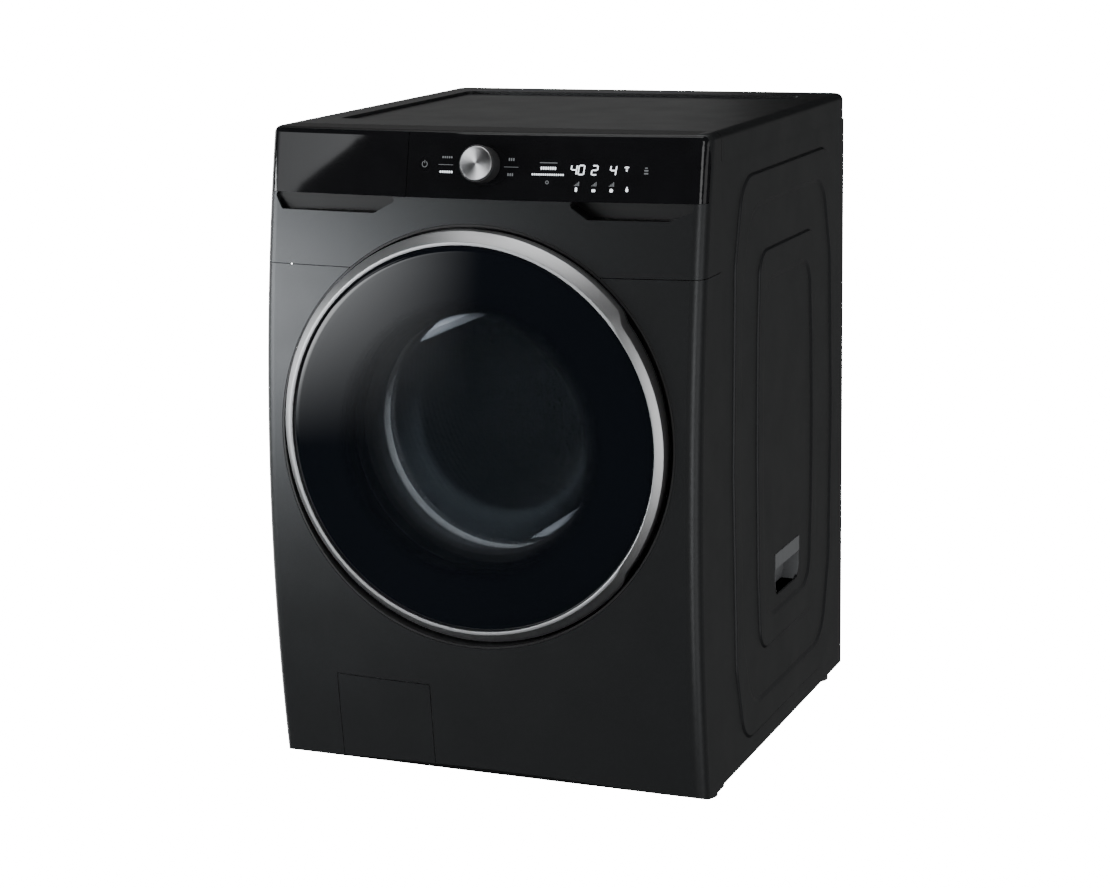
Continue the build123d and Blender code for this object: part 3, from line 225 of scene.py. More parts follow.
def metal(name, color, other, rough, stretch=(1, 1, 1), scale=400, depth=0.00002):
    """Metal with streaks along the axis that stretch makes small."""
    s = Shader(name, color, rough, 1.0)
    streaks = s.noise(scale, 4, s.where(stretch))
    s.tint(s.remap(streaks, 0.3, 0.7), other)
    s.roughen(streaks, rough + 0.1)
    s.bump(streaks, depth, 0.4)
    return s.mat


def clear(name, color, alpha, rough=0.02):
    """Shader of a tinted glass that lets light straight through."""
    s = Shader(name, color, rough, IOR=1.5, Alpha=alpha)
    s.tint(s.noise(6, 3), tuple(c * 0.8 for c in color))
    s.roughen(s.noise(11, 4), rough + 0.02)
    return s


def door_pane_glass():
    """Tinted glass with a black print that closes in towards the window's edge."""
    s = clear("tinted_glass", (0.004, 0.005, 0.007), 1.0)
    radius = s.away(0, DOOR_Z * MM)
    s.wire(s.remap(radius, 180 * MM, 208 * MM, 0.5, 0.985), s.bsdf.inputs["Alpha"])
    return s.mat


def spun_aluminium():
    """A disc turned on a lathe: fine rings about its own +Z and a highlight that fans out."""
    s = Shader("brushed_aluminium", (0.96, 0.96, 0.97), 0.38, 1.0, Anisotropic=0.85)
    s.wire(s.node("Tangent", direction_type="RADIAL", axis="Z").outputs[0], s.bsdf.inputs["Tangent"])
    rings = s.node("TexNoise", noise_dimensions="1D")
    s.wire(s.away(0, 0, (1, 1, 0)), rings.inputs["W"])
    rings.inputs["Scale"].default_value = 5000
    s.tint(rings.outputs["Fac"], (0.62, 0.62, 0.63))
    s.bump(rings.outputs["Fac"], 0.000004, 0.3)
    return s.mat


def shining(name, color, strength):
    s = Shader(name, (0.02, 0.02, 0.02), 0.4, Emission_Color=(*color, 1), Emission_Strength=strength)
    s.tint(s.noise(300, 2), (0.03, 0.03, 0.03))
    return s.mat


def concrete():
    s = Shader("concrete", (0.36, 0.35, 0.33), 0.9)
    s.tint(s.noise(60, 8), (0.24, 0.235, 0.225))
    s.bump(s.noise(160, 6), 0.0006, 0.7)
    return s.mat


MATS = {
    "graphite_paint": graphite(),
    "fascia_gloss": gloss_black("fascia_gloss"),
    "display_black": gloss_black("display_black"),
    "knob_black": moulded("knob_black", (0.02, 0.02, 0.021), (0.03, 0.03, 0.031), 0.3, 1500, 0.00001),
    "brushed_aluminium": spun_aluminium(),
    "ring_silver": metal("ring_silver", (0.84, 0.85, 0.86), (0.76, 0.77, 0.78), 0.38, (1, 1, 1), 1200,
                         0.00001),
    "tinted_glass": door_pane_glass(),
    "clear_glass": clear("clear_glass", (0.25, 0.29, 0.32), 0.12).mat,
    "black_plastic": moulded("black_plastic", (0.012, 0.012, 0.0125), (0.018, 0.018, 0.019), 0.42),
    "grip_plastic": moulded("grip_plastic", (0.085, 0.088, 0.092), (0.1, 0.104, 0.108), 0.45),
    "white_plastic": moulded("white_plastic", (0.62, 0.63, 0.63), (0.56, 0.57, 0.575), 0.4),
    "lifter_plastic": moulded("lifter_plastic", (0.3, 0.31, 0.33), (0.25, 0.26, 0.28), 0.35),
    "rubber_grey": moulded("rubber_grey", (0.09, 0.09, 0.093), (0.12, 0.12, 0.123), 0.55, 500),
    "foot_black": moulded("foot_black", (0.03, 0.03, 0.031), (0.045, 0.045, 0.046), 0.6),
    "stainless": metal("stainless", (0.6, 0.6, 0.61), (0.5, 0.5, 0.51), 0.24, (1, 12, 1), 300),
    "cast_aluminium": metal("cast_aluminium", (0.55, 0.55, 0.56), (0.42, 0.42, 0.43), 0.45, (1, 1, 1), 250,
                            0.0001),
    "zinc_steel": metal("zinc_steel", (0.45, 0.46, 0.47), (0.33, 0.34, 0.35), 0.38, (1, 1, 1), 60),
    "concrete": concrete(),
    "display_light": shining("display_light", (0.9, 0.95, 1.0), 2.5),
    # The grey print glows faintly: painted light that keeps the labels grey whatever lamps fall on them.
    "print_grey": shining("print_grey", (0.75, 0.8, 0.85), 0.22),
}

slots = {row["node"]: row["material_slot"] for row in frame["record"]["subparts"]}
for name, node in NODES.items():
    node.data.materials.clear()
    node.data.materials.append(graphite_recess_shade() if name == "control_frame" else MATS[slots[name]])


# --- Mesh tools ---------------------------------------------------------------------------------

def piece(name, verts, faces, body, material, stands_for=(), sharp=32.0, place=None, slot=None):
    """A mesh given in millimetres, closed up, shaded and tied to its body."""
    bm = bmesh.new()
    made = [bm.verts.new([c * MM for c in v]) for v in verts]
    for face in faces:
        if len(set(face)) > 2:
            bm.faces.new([made[i] for i in dict.fromkeys(face)])
    bmesh.ops.remove_doubles(bm, verts=bm.verts, dist=2e-6)
    bmesh.ops.recalc_face_normals(bm, faces=bm.faces)
    mesh = bpy.data.meshes.new(name)
    bm.to_mesh(mesh)
    bm.free()
    mesh.materials.append(MATS[material])
    mesh.shade_smooth()
    mesh.set_sharp_from_angle(angle=math.radians(sharp))
    thing = bpy.data.objects.new(name, mesh)
    bpy.context.scene.collection.objects.link(thing)
    if place is not None:
        thing.matrix_world = place
        bpy.context.view_layer.update()
    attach(thing, body)
    if stands_for:
        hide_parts(*stands_for)
    return thing


def rounded(points, steps=4):
    """A closed outline whose points may carry a corner radius as their third number."""
    made = []
    count = len(points)
    for i, point in enumerate(points):
        r = point[2] if len(point) > 2 else 0
        here = Vector(point[:2])
        if not r:
            made.append(tuple(here))
            continue
        before, after = Vector(points[i - 1][:2]) - here, Vector(points[(i + 1) % count][:2]) - here
        half = before.angle(after) / 2
        cut = min(r / math.tan(half), 0.49 * before.length, 0.49 * after.length)
        r = cut * math.tan(half)
        centre = here + (before.normalized() + after.normalized()).normalized() * r / math.sin(half)
        a = here + before.normalized() * cut - centre
        b = here + after.normalized() * cut - centre
        for j in range(steps + 1):
            made.append(tuple(centre + a.lerp(b, j / steps).normalized() * r))
    return made


def lathe(profile, steps=160, x=0.0, z=DOOR_Z, shift=None):
    """Turns a closed (radius, y) outline about an axis along Y. shift(angle, i) may give point i anew."""
    verts, faces = [], []
    n = len(profile)
    for k in range(steps):
        a = 2 * math.pi * k / steps
        for i, (r, y) in enumerate(profile):
            if shift:
                r, y = shift(a, i)
            verts.append((x + r * math.cos(a), y, z + r * math.sin(a)))
    for k in range(steps):
        for i in range(n):
            j, m = (i + 1) % n, (k + 1) % steps
            faces.append((k * n + i, k * n + j, m * n + j, m * n + i))
    return verts, faces


def join(*meshes):
    """Several (verts, faces) pairs as one."""
    verts, faces = [], []
    for vs, fs in meshes:
        base = len(verts)
        verts += vs
        faces += [tuple(base + i for i in f) for f in fs]
    return verts, faces


def smooth(t):
    """Eases from 0 to 1 as t goes from 0 to 1."""
    t = max(0.0, min(1.0, t))
    return t * t * (3 - 2 * t)


def face_y(z, x=0.0):
    """The front face's y."""
    return FACE_Y + (z - FACE_MID_Z) ** 2 / (2 * BOW_UP) + x ** 2 / (2 * BOW_ACROSS)


# --- Door -----------------------------------------------------------------------------------------

GLASS_R = 283.0
GRIP_ANGLE, GRIP_BLEND = 39.5, 5.0


def door_ring():
    """Bright lip, flared wall, and a broad chamfer to grip on the side away from the hinge."""
    lip_y, seat_y, root_y, back_y = (FRONT_Y + depth for depth in (8.0, 15.0, 23.0, 44.0))

    def section(lip_r, wall_r, wall_y, wall_round):
        """The lip ends at lip_r; from there the wall flares to wall_r at wall_y."""
        return rounded([(284, lip_y, 0.8), (lip_r, lip_y, 0.9), (wall_r, wall_y, wall_round),
                        (wall_r, back_y, 0.6), (wall_r - 3, back_y), (wall_r - 3, root_y + 1),
                        (286, seat_y), (284, seat_y)])

    a, b = section(289, 303, root_y, 2.5), section(285.5, 296, lip_y + 6.5, 1.5)

    def shift(angle, i):
        off = abs((math.degrees(angle) + 180) % 360 - 180)
        start = GRIP_ANGLE if i < len(a) / 3 else GRIP_ANGLE + 2.0
        t = smooth((start - off) / GRIP_BLEND)
        return a[i][0] + (b[i][0] - a[i][0]) * t, a[i][1] + (b[i][1] - a[i][1]) * t

    piece("door_ring_trim", *lathe(a, 288, shift=shift), "door", "ring_silver", ("door_ring", "door_handle"))


def door_glass():
    """The domed pane, its rim eased."""
    thick, rim, eased, rings = 4.0, 11.0, 0.8, 30
    radii = [GLASS_R * i / rings for i in range(rings + 1)]
    front = [(r, FRONT_Y + rim * (r / GLASS_R) ** 2) for r in radii]
    front[-1] = (GLASS_R - eased, front[-1][1])
    front.append((GLASS_R, front[-1][1] + eased))
    back = [(r, FRONT_Y + thick + rim * (r / GLASS_R) ** 2) for r in reversed(radii)]
    piece("door_pane", *lathe(front + back, 192), "door", "tinted_glass", ("door_glass",), 50)


def door_bowl():
    """Flange, cone and slightly domed bottom."""
    y0 = FRONT_Y + 42.0
    deep = y0 + 100.0
    outside = [(197, y0, 0.8), (197, y0 + 9, 1.5), (168, y0 + 9, 6), (140, deep, 18), (90, deep + 8, 60),
               (0, deep + 13)]
    inside = [(0, deep + 9), (90, deep + 4, 60), (136, deep - 5, 15), (163, y0 + 4, 6), (165, y0, 1)]
    outline = outside + inside
    piece("door_bowl_glass", *lathe(rounded(outline, 8), 128), "door", "clear_glass", ("door_bowl",), 50)


def gasket():
    """Folded rubber: a round front bead, a deep fold and a lip that seals on the bowl."""
    y, m = FRONT_Y + 66.0, 186.0
    outside = [(m + 7, y, 1), (m + 7, y + 9, 2), (m + 14, y + 9, 3), (m + 14, y + 22, 4), (m + 1, y + 26, 3),
               (m + 1, y + 47, 1)]
    inside = [(m - 2, y + 47, 1), (m - 2, y + 23, 3), (m + 11, y + 19, 2), (m + 11, y + 12, 2),
              (m + 4, y + 12, 2), (m + 4, y + 5, 3)]
    lip = [(m - 7, y + 11, 1.5), (m - 10, y + 7.5, 1.2), (m - 3, y, 3)]
    outline = outside + inside + lip
    piece("gasket", *lathe(rounded(outline, 5), 128), "cabinet", "rubber_grey", ("bellows",), 50)


# --- Drum -----------------------------------------------------------------------------------------

SHEET = 1.3


def perforated(across, along, at, hole):
    """A sheet of cells, each with a round hole, as quads. at(u, v) gives the point; rows are staggered."""
    verts, faces = [], []
    rim = [(-1, -1), (0, -1), (1, -1), (1, 0), (1, 1), (0, 1), (-1, 1), (-1, 0)]
    for j in range(along):
        for i in range(across):
            cu, cv = i + 0.5 + 0.5 * (j % 2), j + 0.5
            base = len(verts)
            for a, b in rim:
                verts.append(at((cu + a / 2) / across, (cv + b / 2) / along))
            for a, b in rim:
                k = hole / math.hypot(a, b)
                verts.append(at((cu + a * k) / across, (cv + b * k) / along))
            faces += [(base + k, base + (k + 1) % 8, base + 8 + (k + 1) % 8, base + 8 + k) for k in range(8)]
    return verts, faces


def thicken(thing, thickness, offset=0.0):
    """Gives a sheet its thickness, centred on it unless offset says otherwise."""
    made = thing.modifiers.new("thickness", "SOLIDIFY")
    made.thickness, made.offset = thickness * MM, offset
    return made


def drum():
    """Perforated wall, rolled mouth, and a perforated back plate with three ribs round its hub."""
    front, wall_r = DRUM_FRONT, 267.2
    wall_length = DRUM_BACK - front - 18

    def wall(u, v):
        a = 2 * math.pi * u
        return wall_r * math.cos(a), front + 16 + wall_length * v, DOOR_Z + wall_r * math.sin(a)

    shell = piece("drum_wall", *perforated(96, 26, wall, 0.11), "drum", "stainless", ("drum_shell",))
    thicken(shell, SHEET)
    outside = [(182, front + 12, 0.5), (182, front, 3), (254, front, 12), (268, front + 14, 5),
               (268, front + 18)]
    inside = [(266.6, front + 18), (266.6, front + 14.5, 5), (253.5, front + 1.5, 10),
              (183.5, front + 1.5, 2), (183.5, front + 12)]
    piece("drum_mouth", *lathe(rounded(outside + inside, 5), 160), "drum", "stainless", (), 50)
    plate_y, plate_in, plate_out = DRUM_BACK - 10.0, 62, 252

    def dish(u, v):
        a = 2 * math.pi * u
        radius = plate_in + (plate_out - plate_in) * v
        off_rib = abs(((u * 3 + 0.5) % 1) - 0.5)
        rib = smooth(1.3 - off_rib * 9)
        rib *= smooth((radius - plate_in) / 30) * smooth((plate_out - radius) / 20)
        ring = smooth((radius - 70) / 14) * smooth((160 - radius) / 14)
        return radius * math.cos(a), plate_y - 9 * max(ring, rib), DOOR_Z + radius * math.sin(a)

    plate = piece("drum_plate", *perforated(72, 12, dish, 0.12), "drum", "stainless", ("drum_back",), 40)
    thicken(plate, SHEET)
    near, far = plate_y - 0.6, plate_y + 0.7
    hub = [(0, plate_y - 6), (34, plate_y - 6, 6), (48, near, 8), (63, near), (63, far), (47, far, 8),
           (33, plate_y - 4.6, 6), (0, plate_y - 4.6)]
    piece("drum_hub", *lathe(rounded(hub, 4), 96), "drum", "stainless", (), 50)
    rim = [(251, near), (266, near), (266, far), (251, far)]
    piece("drum_rim", *lathe(rim, 160), "drum", "stainless", (), 50)


def paddle(turn):
    """One lifter: a soft ridge along the drum wall that is lower at both ends."""
    foot_r, length, height, crest, flank = 266.5, 380.0, 61.0, 9, 20
    y0 = DRUM_BACK - 30.0 - length
    rings, n = 25, 15
    verts, faces = [], []
    for i in range(rings):
        t = i / (rings - 1)
        tall = height * (0.5 + 0.5 * smooth(t / 0.16) * smooth((1 - t) / 0.12))
        for j in range(n):
            u = j / (n - 1) * 2 - 1
            down = smooth((abs(u) - 0.3) / 0.7)
            side = math.copysign(crest + flank * down, u) if abs(u) > 0.3 else 30 * u
            radius = foot_r - max(tall * (1 - down), 0.4)
            radius = min(radius, math.sqrt(foot_r ** 2 - side ** 2) - 0.2)
            verts.append((side * math.sin(turn) + radius * math.cos(turn), y0 + length * t,
                          DOOR_Z - side * math.cos(turn) + radius * math.sin(turn)))
    for i in range(rings - 1):
        for j in range(n - 1):
            faces.append((i * n + j, i * n + j + 1, (i + 1) * n + j + 1, (i + 1) * n + j))
        faces.append((i * n, (i + 1) * n, (i + 1) * n + n - 1, i * n + n - 1))
    faces += [tuple(range(n)), tuple((rings - 1) * n + j for j in range(n))]
    return verts, faces


def lifters():
    paddles = [paddle(math.radians(-90 + 120 * k)) for k in range(3)]
    piece("paddles", *join(*paddles), "drum", "lifter_plastic", ("lifters",), 45)


# --- Fascia ---------------------------------------------------------------------------------------

DIAL_X, DIAL_Z = 14.0, 938.0
LEAN = math.atan((DIAL_Z - FACE_MID_Z) / BOW_UP)
DIAL_PLACE = (Matrix.Translation(Vector((DIAL_X, face_y(DIAL_Z, DIAL_X), DIAL_Z)) * MM)
              @ Matrix.Rotation(math.pi / 2 - LEAN, 4, "X"))


def turned_up(profile, steps=96):
    """Lathe about the piece's own +Z."""
    verts, faces = lathe([(r, h) for r, h in profile], steps, 0.0, 0.0)
    return [(x, -z, y) for x, y, z in verts], faces


def dial():
    """The knob with its shaft, and the turned cap in its face."""
    knob = [(0, 26.5), (24.3, 26.5), (24.3, 28.2, 0.3), (26.3, 28.2, 0.8), (26.3, 3.4, 0.4), (25.4, 3.0, 0.2),
            (25.4, 0.5), (3, 0.5), (3, -19), (0, -19)]
    piece("dial_body", *turned_up(rounded(knob)), "dial", "knob_black", ("dial_knob",), 40, DIAL_PLACE)
    cap = [(0, 29.5), (6, 29.52, 3), (23.3, 29.8, 0.2), (24.2, 29.0, 0.3), (24.2, 27.0), (0, 27.0)]
    piece("dial_face", *turned_up(rounded(cap)), "dial", "brushed_aluminium", ("dial_cap",), 18, DIAL_PLACE)


def print_on(name, outlines, material, body="cabinet"):
    """Thin solids that lie on the fascia, given as (x, z) outlines."""
    proud, sunk = 0.12, 0.05
    meshes = []
    for outline in outlines:
        n = len(outline)
        verts = [(x, face_y(z, x) + d, z) for d in (-proud, sunk) for x, z in outline]
        faces = [tuple(range(n)), tuple(range(n, 2 * n))]
        faces += [(i, (i + 1) % n, n + (i + 1) % n, n + i) for i in range(n)]
        meshes.append((verts, faces))
    return piece(name, *join(*meshes), body, material, (), 30, None, "display_black")


def bar(x, z, w, h):
    """A bar with slightly rounded ends, centred on (x, z)."""
    r = min(w, h) / 2 * 0.6
    corners = [(-w / 2, -h / 2, r), (w / 2, -h / 2, r), (w / 2, h / 2, r), (-w / 2, h / 2, r)]
    return [(x + a, z + b) for a, b in rounded(corners, 2)]


def disc(x, z, r, inner=0.0, start=0.0, end=360.0, steps=20):
    """A disc, or a strip round part of a circle."""
    def point(radius, angle):
        return x + radius * math.cos(angle), z + radius * math.sin(angle)

    if not inner:
        return [[point(r, 2 * math.pi * i / steps) for i in range(steps)]]
    strips = []
    for i in range(steps):
        a, b = (math.radians(start + (end - start) * (i + k) / steps) for k in (0, 1))
        strips.append([point(r, a), point(r, b), point(inner, b), point(inner, a)])
    return strips


SEGMENTS = {"0": "abcdef", "2": "abged", "4": "fgbc"}


def digit(char, x, z):
    """A seven-segment numeral, leaning a little."""
    w, h, t, lean = 8.0, 12.5, 1.7, 0.12
    flat, tall = w - t, h / 2 - 0.4
    places = {"a": (0, h / 2, flat, t), "g": (0, 0, flat, t), "d": (0, -h / 2, flat, t),
              "b": (w / 2, h / 4, t, tall), "c": (w / 2, -h / 4, t, tall),
              "f": (-w / 2, h / 4, t, tall), "e": (-w / 2, -h / 4, t, tall)}
    made = []
    for key in SEGMENTS[char]:
        dx, dz, a, b = places[key]
        made.append([(x + dx + u + lean * (dz + v), z + dz + v) for u, v in bar(0, 0, a, b)])
    return made


def row(x0, x1, low, high, parts, fill):
    """A row of evenly spaced bars that stands for a printed word."""
    step = (x1 - x0) / parts
    return [bar(x0 + (i + 0.5) * step, (low + high) / 2, step * fill, high - low) for i in range(parts)]


def fascia_print():
    """Numerals, signal mark, icons and bars: bright, dim, and the power mark on its own button."""
    numeral_z, icon_z = 934.0, 907.0
    bright = []
    for char, x in (("4", 150.0), ("0", 161.0), ("2", 180.5), ("4", 207.5)):
        bright += digit(char, x, numeral_z)
    for r in (2.0, 4.2):
        bright += disc(227, numeral_z + 0.5, r + 1.1, r, 50, 130, 8)
    bright += disc(227, numeral_z + 0.2, 1.2)
    bright += [bar(154.5, icon_z, 3, 6), bar(180, icon_z - 1, 5.5, 3.6), bar(228.5, icon_z + 0.5, 3.6, 4.6)]
    bright += disc(206, icon_z - 0.5, 2.5) + [bar(228.5, icon_z + 4, 1.8, 1.8)]
    bright += row(100, 124, 933.5, 937.5, 7, 0.62) + row(87, 136, 925.5, 928.0, 15, 0.62)
    bright += row(-55, -34, 925.5, 928.5, 6, 0.62)
    print_on("display_lit", bright, "display_light")
    # The dim print and the power mark are given a faint glow: painted light, not a lit display.
    dim = [bar(112, 943, 26, 1.2), bar(-45.5, 937, 23, 0.7), bar(56, 936, 22, 0.7)]
    dim += row(-52, -35, 946, 949, 5, 0.6) + row(51, 61, 944.5, 948.5, 3, 0.6)
    dim += row(50, 60, 923.5, 927.5, 3, 0.6)
    dim += disc(111, 916, 2.6, 1.5)
    dim += [bar(255, numeral_z + 0.5, 6, 2), bar(255, numeral_z - 3.5, 6, 2), bar(255, numeral_z + 4, 4, 1.6)]
    for x in (155.0, 180.5, 206.0):
        dim += [bar(x - 3 + 2 * i, icon_z + 5.6 + i * 0.8, 1.4, 1.2 + 1.6 * i) for i in range(4)]
    print_on("display_dim", dim, "print_grey")
    mark = disc(-79, 937, 4.5, 3.6, 118, 422) + [bar(-79, 940.5, 0.9, 4.4)]
    print_on("power_mark", mark, "print_grey", "power")


# --- Cabinet --------------------------------------------------------------------------------------

# The four ridge lines, outermost first: half width, half height, how far the corner and the shoulder
# stand in from the half width, corner radius, and how wide the line's slope is. The sheet rises at the
# first and third lines and falls back at the others.
RIDGES = ((274.0, 431.0, 50.0, 12.0, 60.0, 5.0), (234.0, 377.0, 48.0, 10.0, 60.0, 9.0),
          (159.0, 311.0, 16.0, 4.0, 40.0, 5.0), (124.0, 259.0, 14.0, 4.0, 38.0, 9.0))
RIDGE_Y, RIDGE_Z = SEAM_Y + 325.0, 479.0
SHEET_FLAT, SHEET_RAISED = 340.0, 342.9
SHEET_LOW, SHEET_HIGH, SHEET_BACK = 19.0, 942.0, SEAM_Y + 638.3
GRIP_HALF, GRIP_LOW, GRIP_HIGH = 63.5, 237.0, 305.0


def ridge_line(half_w, half_h, corner_in, shoulder_in, r):
    """One ridge line, evenly sampled: (point, outward normal) pairs about the ridges' centre."""
    samples = 384
    quarter = [(half_w - corner_in, half_h, r), (half_w - shoulder_in, half_h - 125.0, 90.0),
               (half_w, 0.0, 200.0)]
    right = quarter + [(a, -b, c) for a, b, c in reversed(quarter[:-1])]
    left = [(-a, b, c) for a, b, c in reversed(right)]
    outline = [Vector(p) for p in rounded(right + left, 10)]
    n = len(outline)
    lengths = [(outline[(i + 1) % n] - outline[i]).length for i in range(n)]
    total = sum(lengths)
    made, i, gone = [], 0, 0.0
    for k in range(samples):
        want = total * k / samples
        while gone + lengths[i] < want and i < n - 1:
            gone += lengths[i]
            i += 1
        made.append(outline[i].lerp(outline[(i + 1) % n], (want - gone) / max(lengths[i], 1e-9)))
    count = len(made)
    pairs = []
    for k in range(count):
        along = (made[(k + 1) % count] - made[k - 1]).normalized()
        normal = Vector((along.y, -along.x))
        if normal.dot(made[k]) < 0:
            normal = -normal
        pairs.append((made[k], normal))
    return pairs


def bridge(bm, a, b):
    """Quads between two closed rows of as many vertices."""
    n = len(a)
    for i in range(n):
        bm.faces.new((a[i], a[(i + 1) % n], b[(i + 1) % n], b[i]))


def loop_edges(bm, loop):
    """The edges of a closed row of vertices, made where they are missing."""
    ends = [(loop[i], loop[(i + 1) % len(loop)]) for i in range(len(loop))]
    return [bm.edges.get(pair) or bm.edges.new(pair) for pair in ends]


def slope(bm, line, width, rising, side):
    """Rows of vertices up or down one ridge's soft flank, from the outer row to the inner."""
    steps, rows = 6, []
    for k in range(steps + 1):
        t = k / steps
        tall = smooth(t) if rising else 1 - smooth(t)
        off = -width * t if rising else width * (1 - t)
        x = side * (SHEET_FLAT + (SHEET_RAISED - SHEET_FLAT) * tall)
        points = [(x, RIDGE_Y + p.x + n.x * off, RIDGE_Z + p.y + n.y * off) for p, n in line]
        rows.append([bm.verts.new([c * MM for c in point]) for point in points])
    return rows


def side_panel(name, side):
    """The pressed side sheet: two raised bands with soft shoulders, and an opening for the grip."""
    bm = bmesh.new()
    slopes = []
    for i, (*shape, width) in enumerate(RIDGES):
        slopes.append(slope(bm, ridge_line(*shape), width, i % 2 == 0, side))
    for rows in slopes:
        for a, b in zip(rows, rows[1:]):
            bridge(bm, a, b)
    for outer, inner in zip(slopes, slopes[1:]):
        bridge(bm, outer[-1], inner[0])

    def flat_loop(points):
        return [bm.verts.new((side * SHEET_FLAT * MM, y * MM, z * MM)) for y, z in points]

    edge = flat_loop([(SEAM_Y, SHEET_LOW), (SHEET_BACK, SHEET_LOW), (SHEET_BACK, SHEET_HIGH),
                      (SEAM_Y, SHEET_HIGH)])
    bmesh.ops.triangle_fill(bm, use_beauty=True, edges=loop_edges(bm, edge) + loop_edges(bm, slopes[0][0]))
    grip_front, grip_back, low_r, high_r = RIDGE_Y - GRIP_HALF, RIDGE_Y + GRIP_HALF, 24, 3
    hole = flat_loop(rounded([(grip_front, GRIP_LOW, low_r), (grip_back, GRIP_LOW, low_r),
                              (grip_back, GRIP_HIGH, high_r), (grip_front, GRIP_HIGH, high_r)]))
    bmesh.ops.triangle_fill(bm, use_beauty=True, edges=loop_edges(bm, hole) + loop_edges(bm, slopes[3][-1]))
    for loop, inward in ((edge, 4.0), (hole, 3.0)):
        bridge(bm, loop, [bm.verts.new((v.co.x - side * inward * MM, v.co.y, v.co.z)) for v in loop])
    bmesh.ops.recalc_face_normals(bm, faces=bm.faces)
    mesh = bpy.data.meshes.new(name)
    bm.to_mesh(mesh)
    bm.free()
    mesh.materials.append(MATS["graphite_paint"])
    mesh.shade_smooth()
    mesh.set_sharp_from_angle(angle=math.radians(40))
    sheet = bpy.data.objects.new(name, mesh)
    bpy.context.scene.collection.objects.link(sheet)
    thicken(sheet, 0.8, -1.0)
    sheet.modifiers.new("flat", "WEIGHTED_NORMAL").keep_sharp = True
    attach(sheet, "cabinet")
    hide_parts(name.replace("sheet", "panel"))


def ease(name, width):
    """Rounds a carried-over node's sharp edges."""
    node = NODES[name]
    node.modifiers.new("weld", "WELD").merge_threshold = 0.02 * MM
    edge = node.modifiers.new("ease", "BEVEL")
    edge.width, edge.segments = width * MM, 2
    edge.limit_method, edge.angle_limit = "ANGLE", math.radians(40)
    flat = node.modifiers.new("flat", "WEIGHTED_NORMAL")
    flat.weight, flat.keep_sharp = 80, False


door_ring()
door_glass()
door_bowl()
gasket()
drum()
lifters()
dial()
fascia_print()
side_panel("side_sheet_left", -1)
side_panel("side_sheet_right", 1)

for eased in ("filter_flap", "drawer_front"):
    ease(eased, 0.5)


# --- Studio -----------------------------------------------------------------------------------

# The studio's places and sizes are in metres.

def hang(thing, place, target):
    """Puts a light or card in place, facing its target and unseen by the camera."""
    bpy.context.scene.collection.objects.link(thing)
    thing.location = place
    thing.rotation_euler = (Vector(target) - Vector(place)).to_track_quat("-Z", "Y").to_euler()
    thing.visible_camera = False
    return thing


def softbox(name, place, target, width, height, power, color=(1, 1, 1)):
    data = bpy.data.lights.new(name, "AREA")
    data.shape, data.size, data.size_y = "RECTANGLE", width, height
    data.energy, data.color = power, color
    return hang(bpy.data.objects.new(name, data), place, target)


def glow_card(name, place, target, outline, strength, across_fade=None, up_fade=None):
    """A glowing card. A fade gives the local distances across or up it where it is dark and full."""
    mesh = bpy.data.meshes.new(name)
    mesh.from_pydata([(x, y, 0) for x, y in outline], [], [tuple(range(len(outline)))])
    card = hang(bpy.data.objects.new(name, mesh), place, target)
    s = Shader(name, (0, 0, 0), 1.0, Specular_IOR_Level=0.0, Emission_Color=(0.96, 0.98, 1.0, 1))
    local = s.split(s.where())
    level = s.remap(s.noise(0.6, 1), 0.3, 0.7, strength * 0.94, strength * 1.06)
    for axis, fade in enumerate((across_fade, up_fade)):
        if fade:
            level = s.math("MULTIPLY", level, s.math("POWER", s.remap(local[axis], *fade), 1.5))
    s.wire(level, s.bsdf.inputs["Emission Strength"])
    mesh.materials.append(s.mat)


def lay_floor():
    """A pale floor that glows for the camera only."""
    mesh = bpy.data.meshes.new("floor")
    half = 80
    corners = [(-half, -half, 0), (half, -half, 0), (half, half, 0), (-half, half, 0)]
    mesh.from_pydata(corners, [], [(0, 1, 2, 3)])
    floor = bpy.data.objects.new("floor", mesh)
    bpy.context.scene.collection.objects.link(floor)
    s = Shader("floor_pale", (0.8, 0.8, 0.8), 0.6, Emission_Color=(1, 1, 1, 1), Emission_Strength=18.0)
    s.tint(s.noise(0.7, 2), (0.78, 0.78, 0.78))
    mesh.materials.append(s.mat)
    floor.visible_glossy = False
    floor.visible_diffuse = False
    floor.visible_shadow = False


def sky():
    """Even white fill, kept out of the reflections."""
    world = bpy.data.worlds.new("studio")
    bpy.context.scene.world = world
    world.use_nodes = True
    background = world.node_tree.nodes["Background"].inputs
    background["Color"].default_value = (1, 1, 1, 1)
    background["Strength"].default_value = 1.0
    world.cycles_visibility.glossy = False


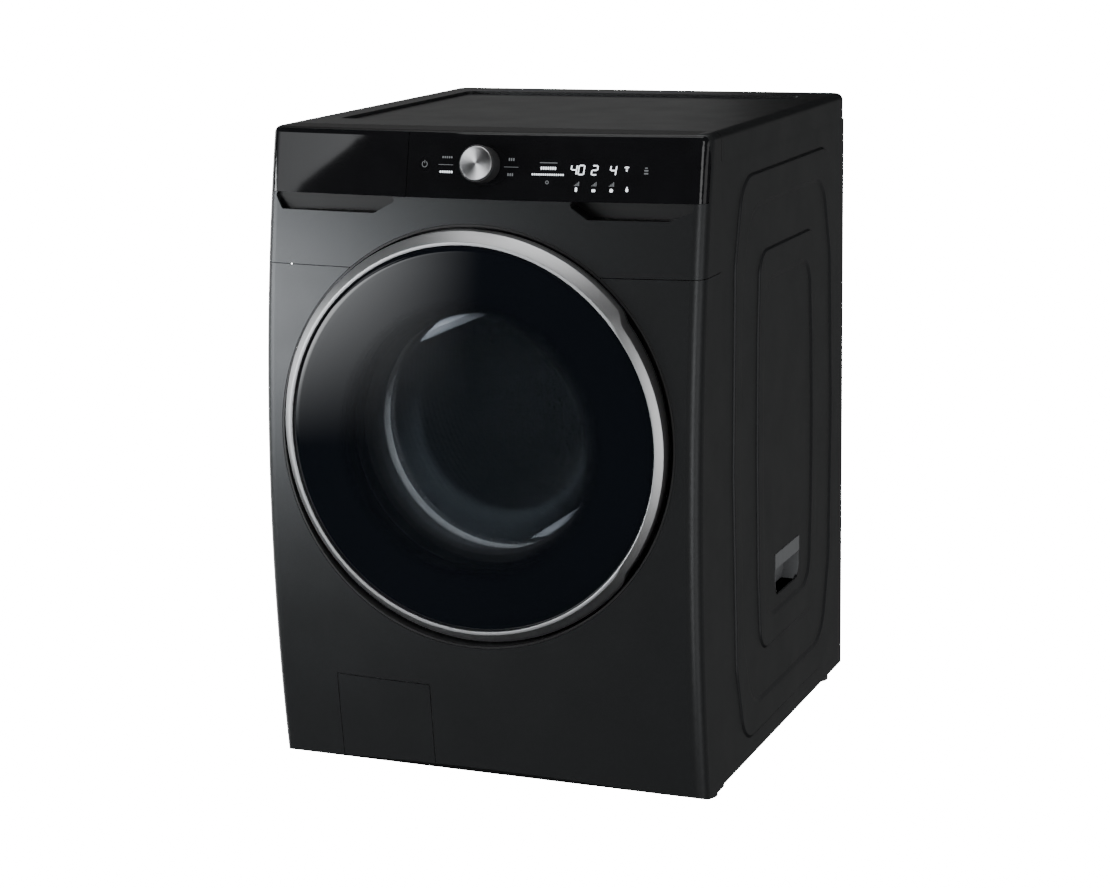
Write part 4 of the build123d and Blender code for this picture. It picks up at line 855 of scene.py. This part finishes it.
def lights():
    """A fading key card on the left, dim cards all round, and a lamp inside the drum."""
    key_place, key_target = (-3.3, -3.0, 1.35), (-0.1, -0.3, 0.7)
    half, low, split, high = 2.4, -2.2, 0.12, 0.8
    lower = [(-half, low), (half, low), (half, split), (-half, split)]
    upper = [(-half, split), (0.32, split), (1.0, high), (-half, high)]
    glow_card("key_left", key_place, key_target, lower, 10.0, (2.38, 0.65), (-1.9, -0.7))
    glow_card("key_upper", key_place, key_target, upper, 2.2, (-half, 0.9))
    softbox("strip_right", (2.7, -2.6, 0.4), (0.2, -0.3, 0.5), 0.9, 3.0, 22)
    softbox("low_right", (3.5, -0.9, 0.0), (0.3, -0.3, 0.5), 1.4, 3.0, 12)
    softbox("far_left", (-3.2, 1.2, 0.2), (-0.3, -0.3, 0.5), 2.0, 3.0, 34)
    softbox("overhead", (0.0, 0.0, 3.4), (0, 0, 0.5), 2.4, 2.4, 32)
    softbox("back_card", (-2.2, 3.6, 1.9), (0, 0, 0.9), 2.6, 1.2, 2.2)
    softbox("side_card", (2.0, 3.4, -0.3), (0.34, 0, 0.5), 3.4, 3.0, 3.5)
    lamp_place = (0.0, (DRUM_FRONT + 40) * MM, 0.71)
    lamp = softbox("drum_fill", lamp_place, (0.02, 0.15, 0.46), 0.16, 0.04, 6.5, (0.85, 0.93, 1.0))
    lamp.visible_glossy = False


def camera():
    """Seen from the front right, a little above and with a slight roll."""
    yaw, pitch, roll = math.radians(22.24), math.radians(12.68), math.radians(-1.13)
    ahead = Vector((-math.sin(yaw) * math.cos(pitch), math.cos(yaw) * math.cos(pitch), -math.sin(pitch)))
    level = Vector((math.cos(yaw), math.sin(yaw), 0))
    over = level.cross(ahead)
    right = math.cos(roll) * level + math.sin(roll) * over
    up = math.cos(roll) * over - math.sin(roll) * level
    data = bpy.data.cameras.new("camera")
    data.lens, data.sensor_width = 82.476, 36.0
    eye = bpy.data.objects.new("camera", data)
    bpy.context.scene.collection.objects.link(eye)
    turn = Matrix((right, up, -ahead)).transposed()
    eye.matrix_world = Matrix.Translation((1.466, -3.645, 1.342)) @ turn.to_4x4()
    bpy.context.scene.camera = eye


lay_floor()
sky()
lights()
camera()

bpy.context.view_layer.update()
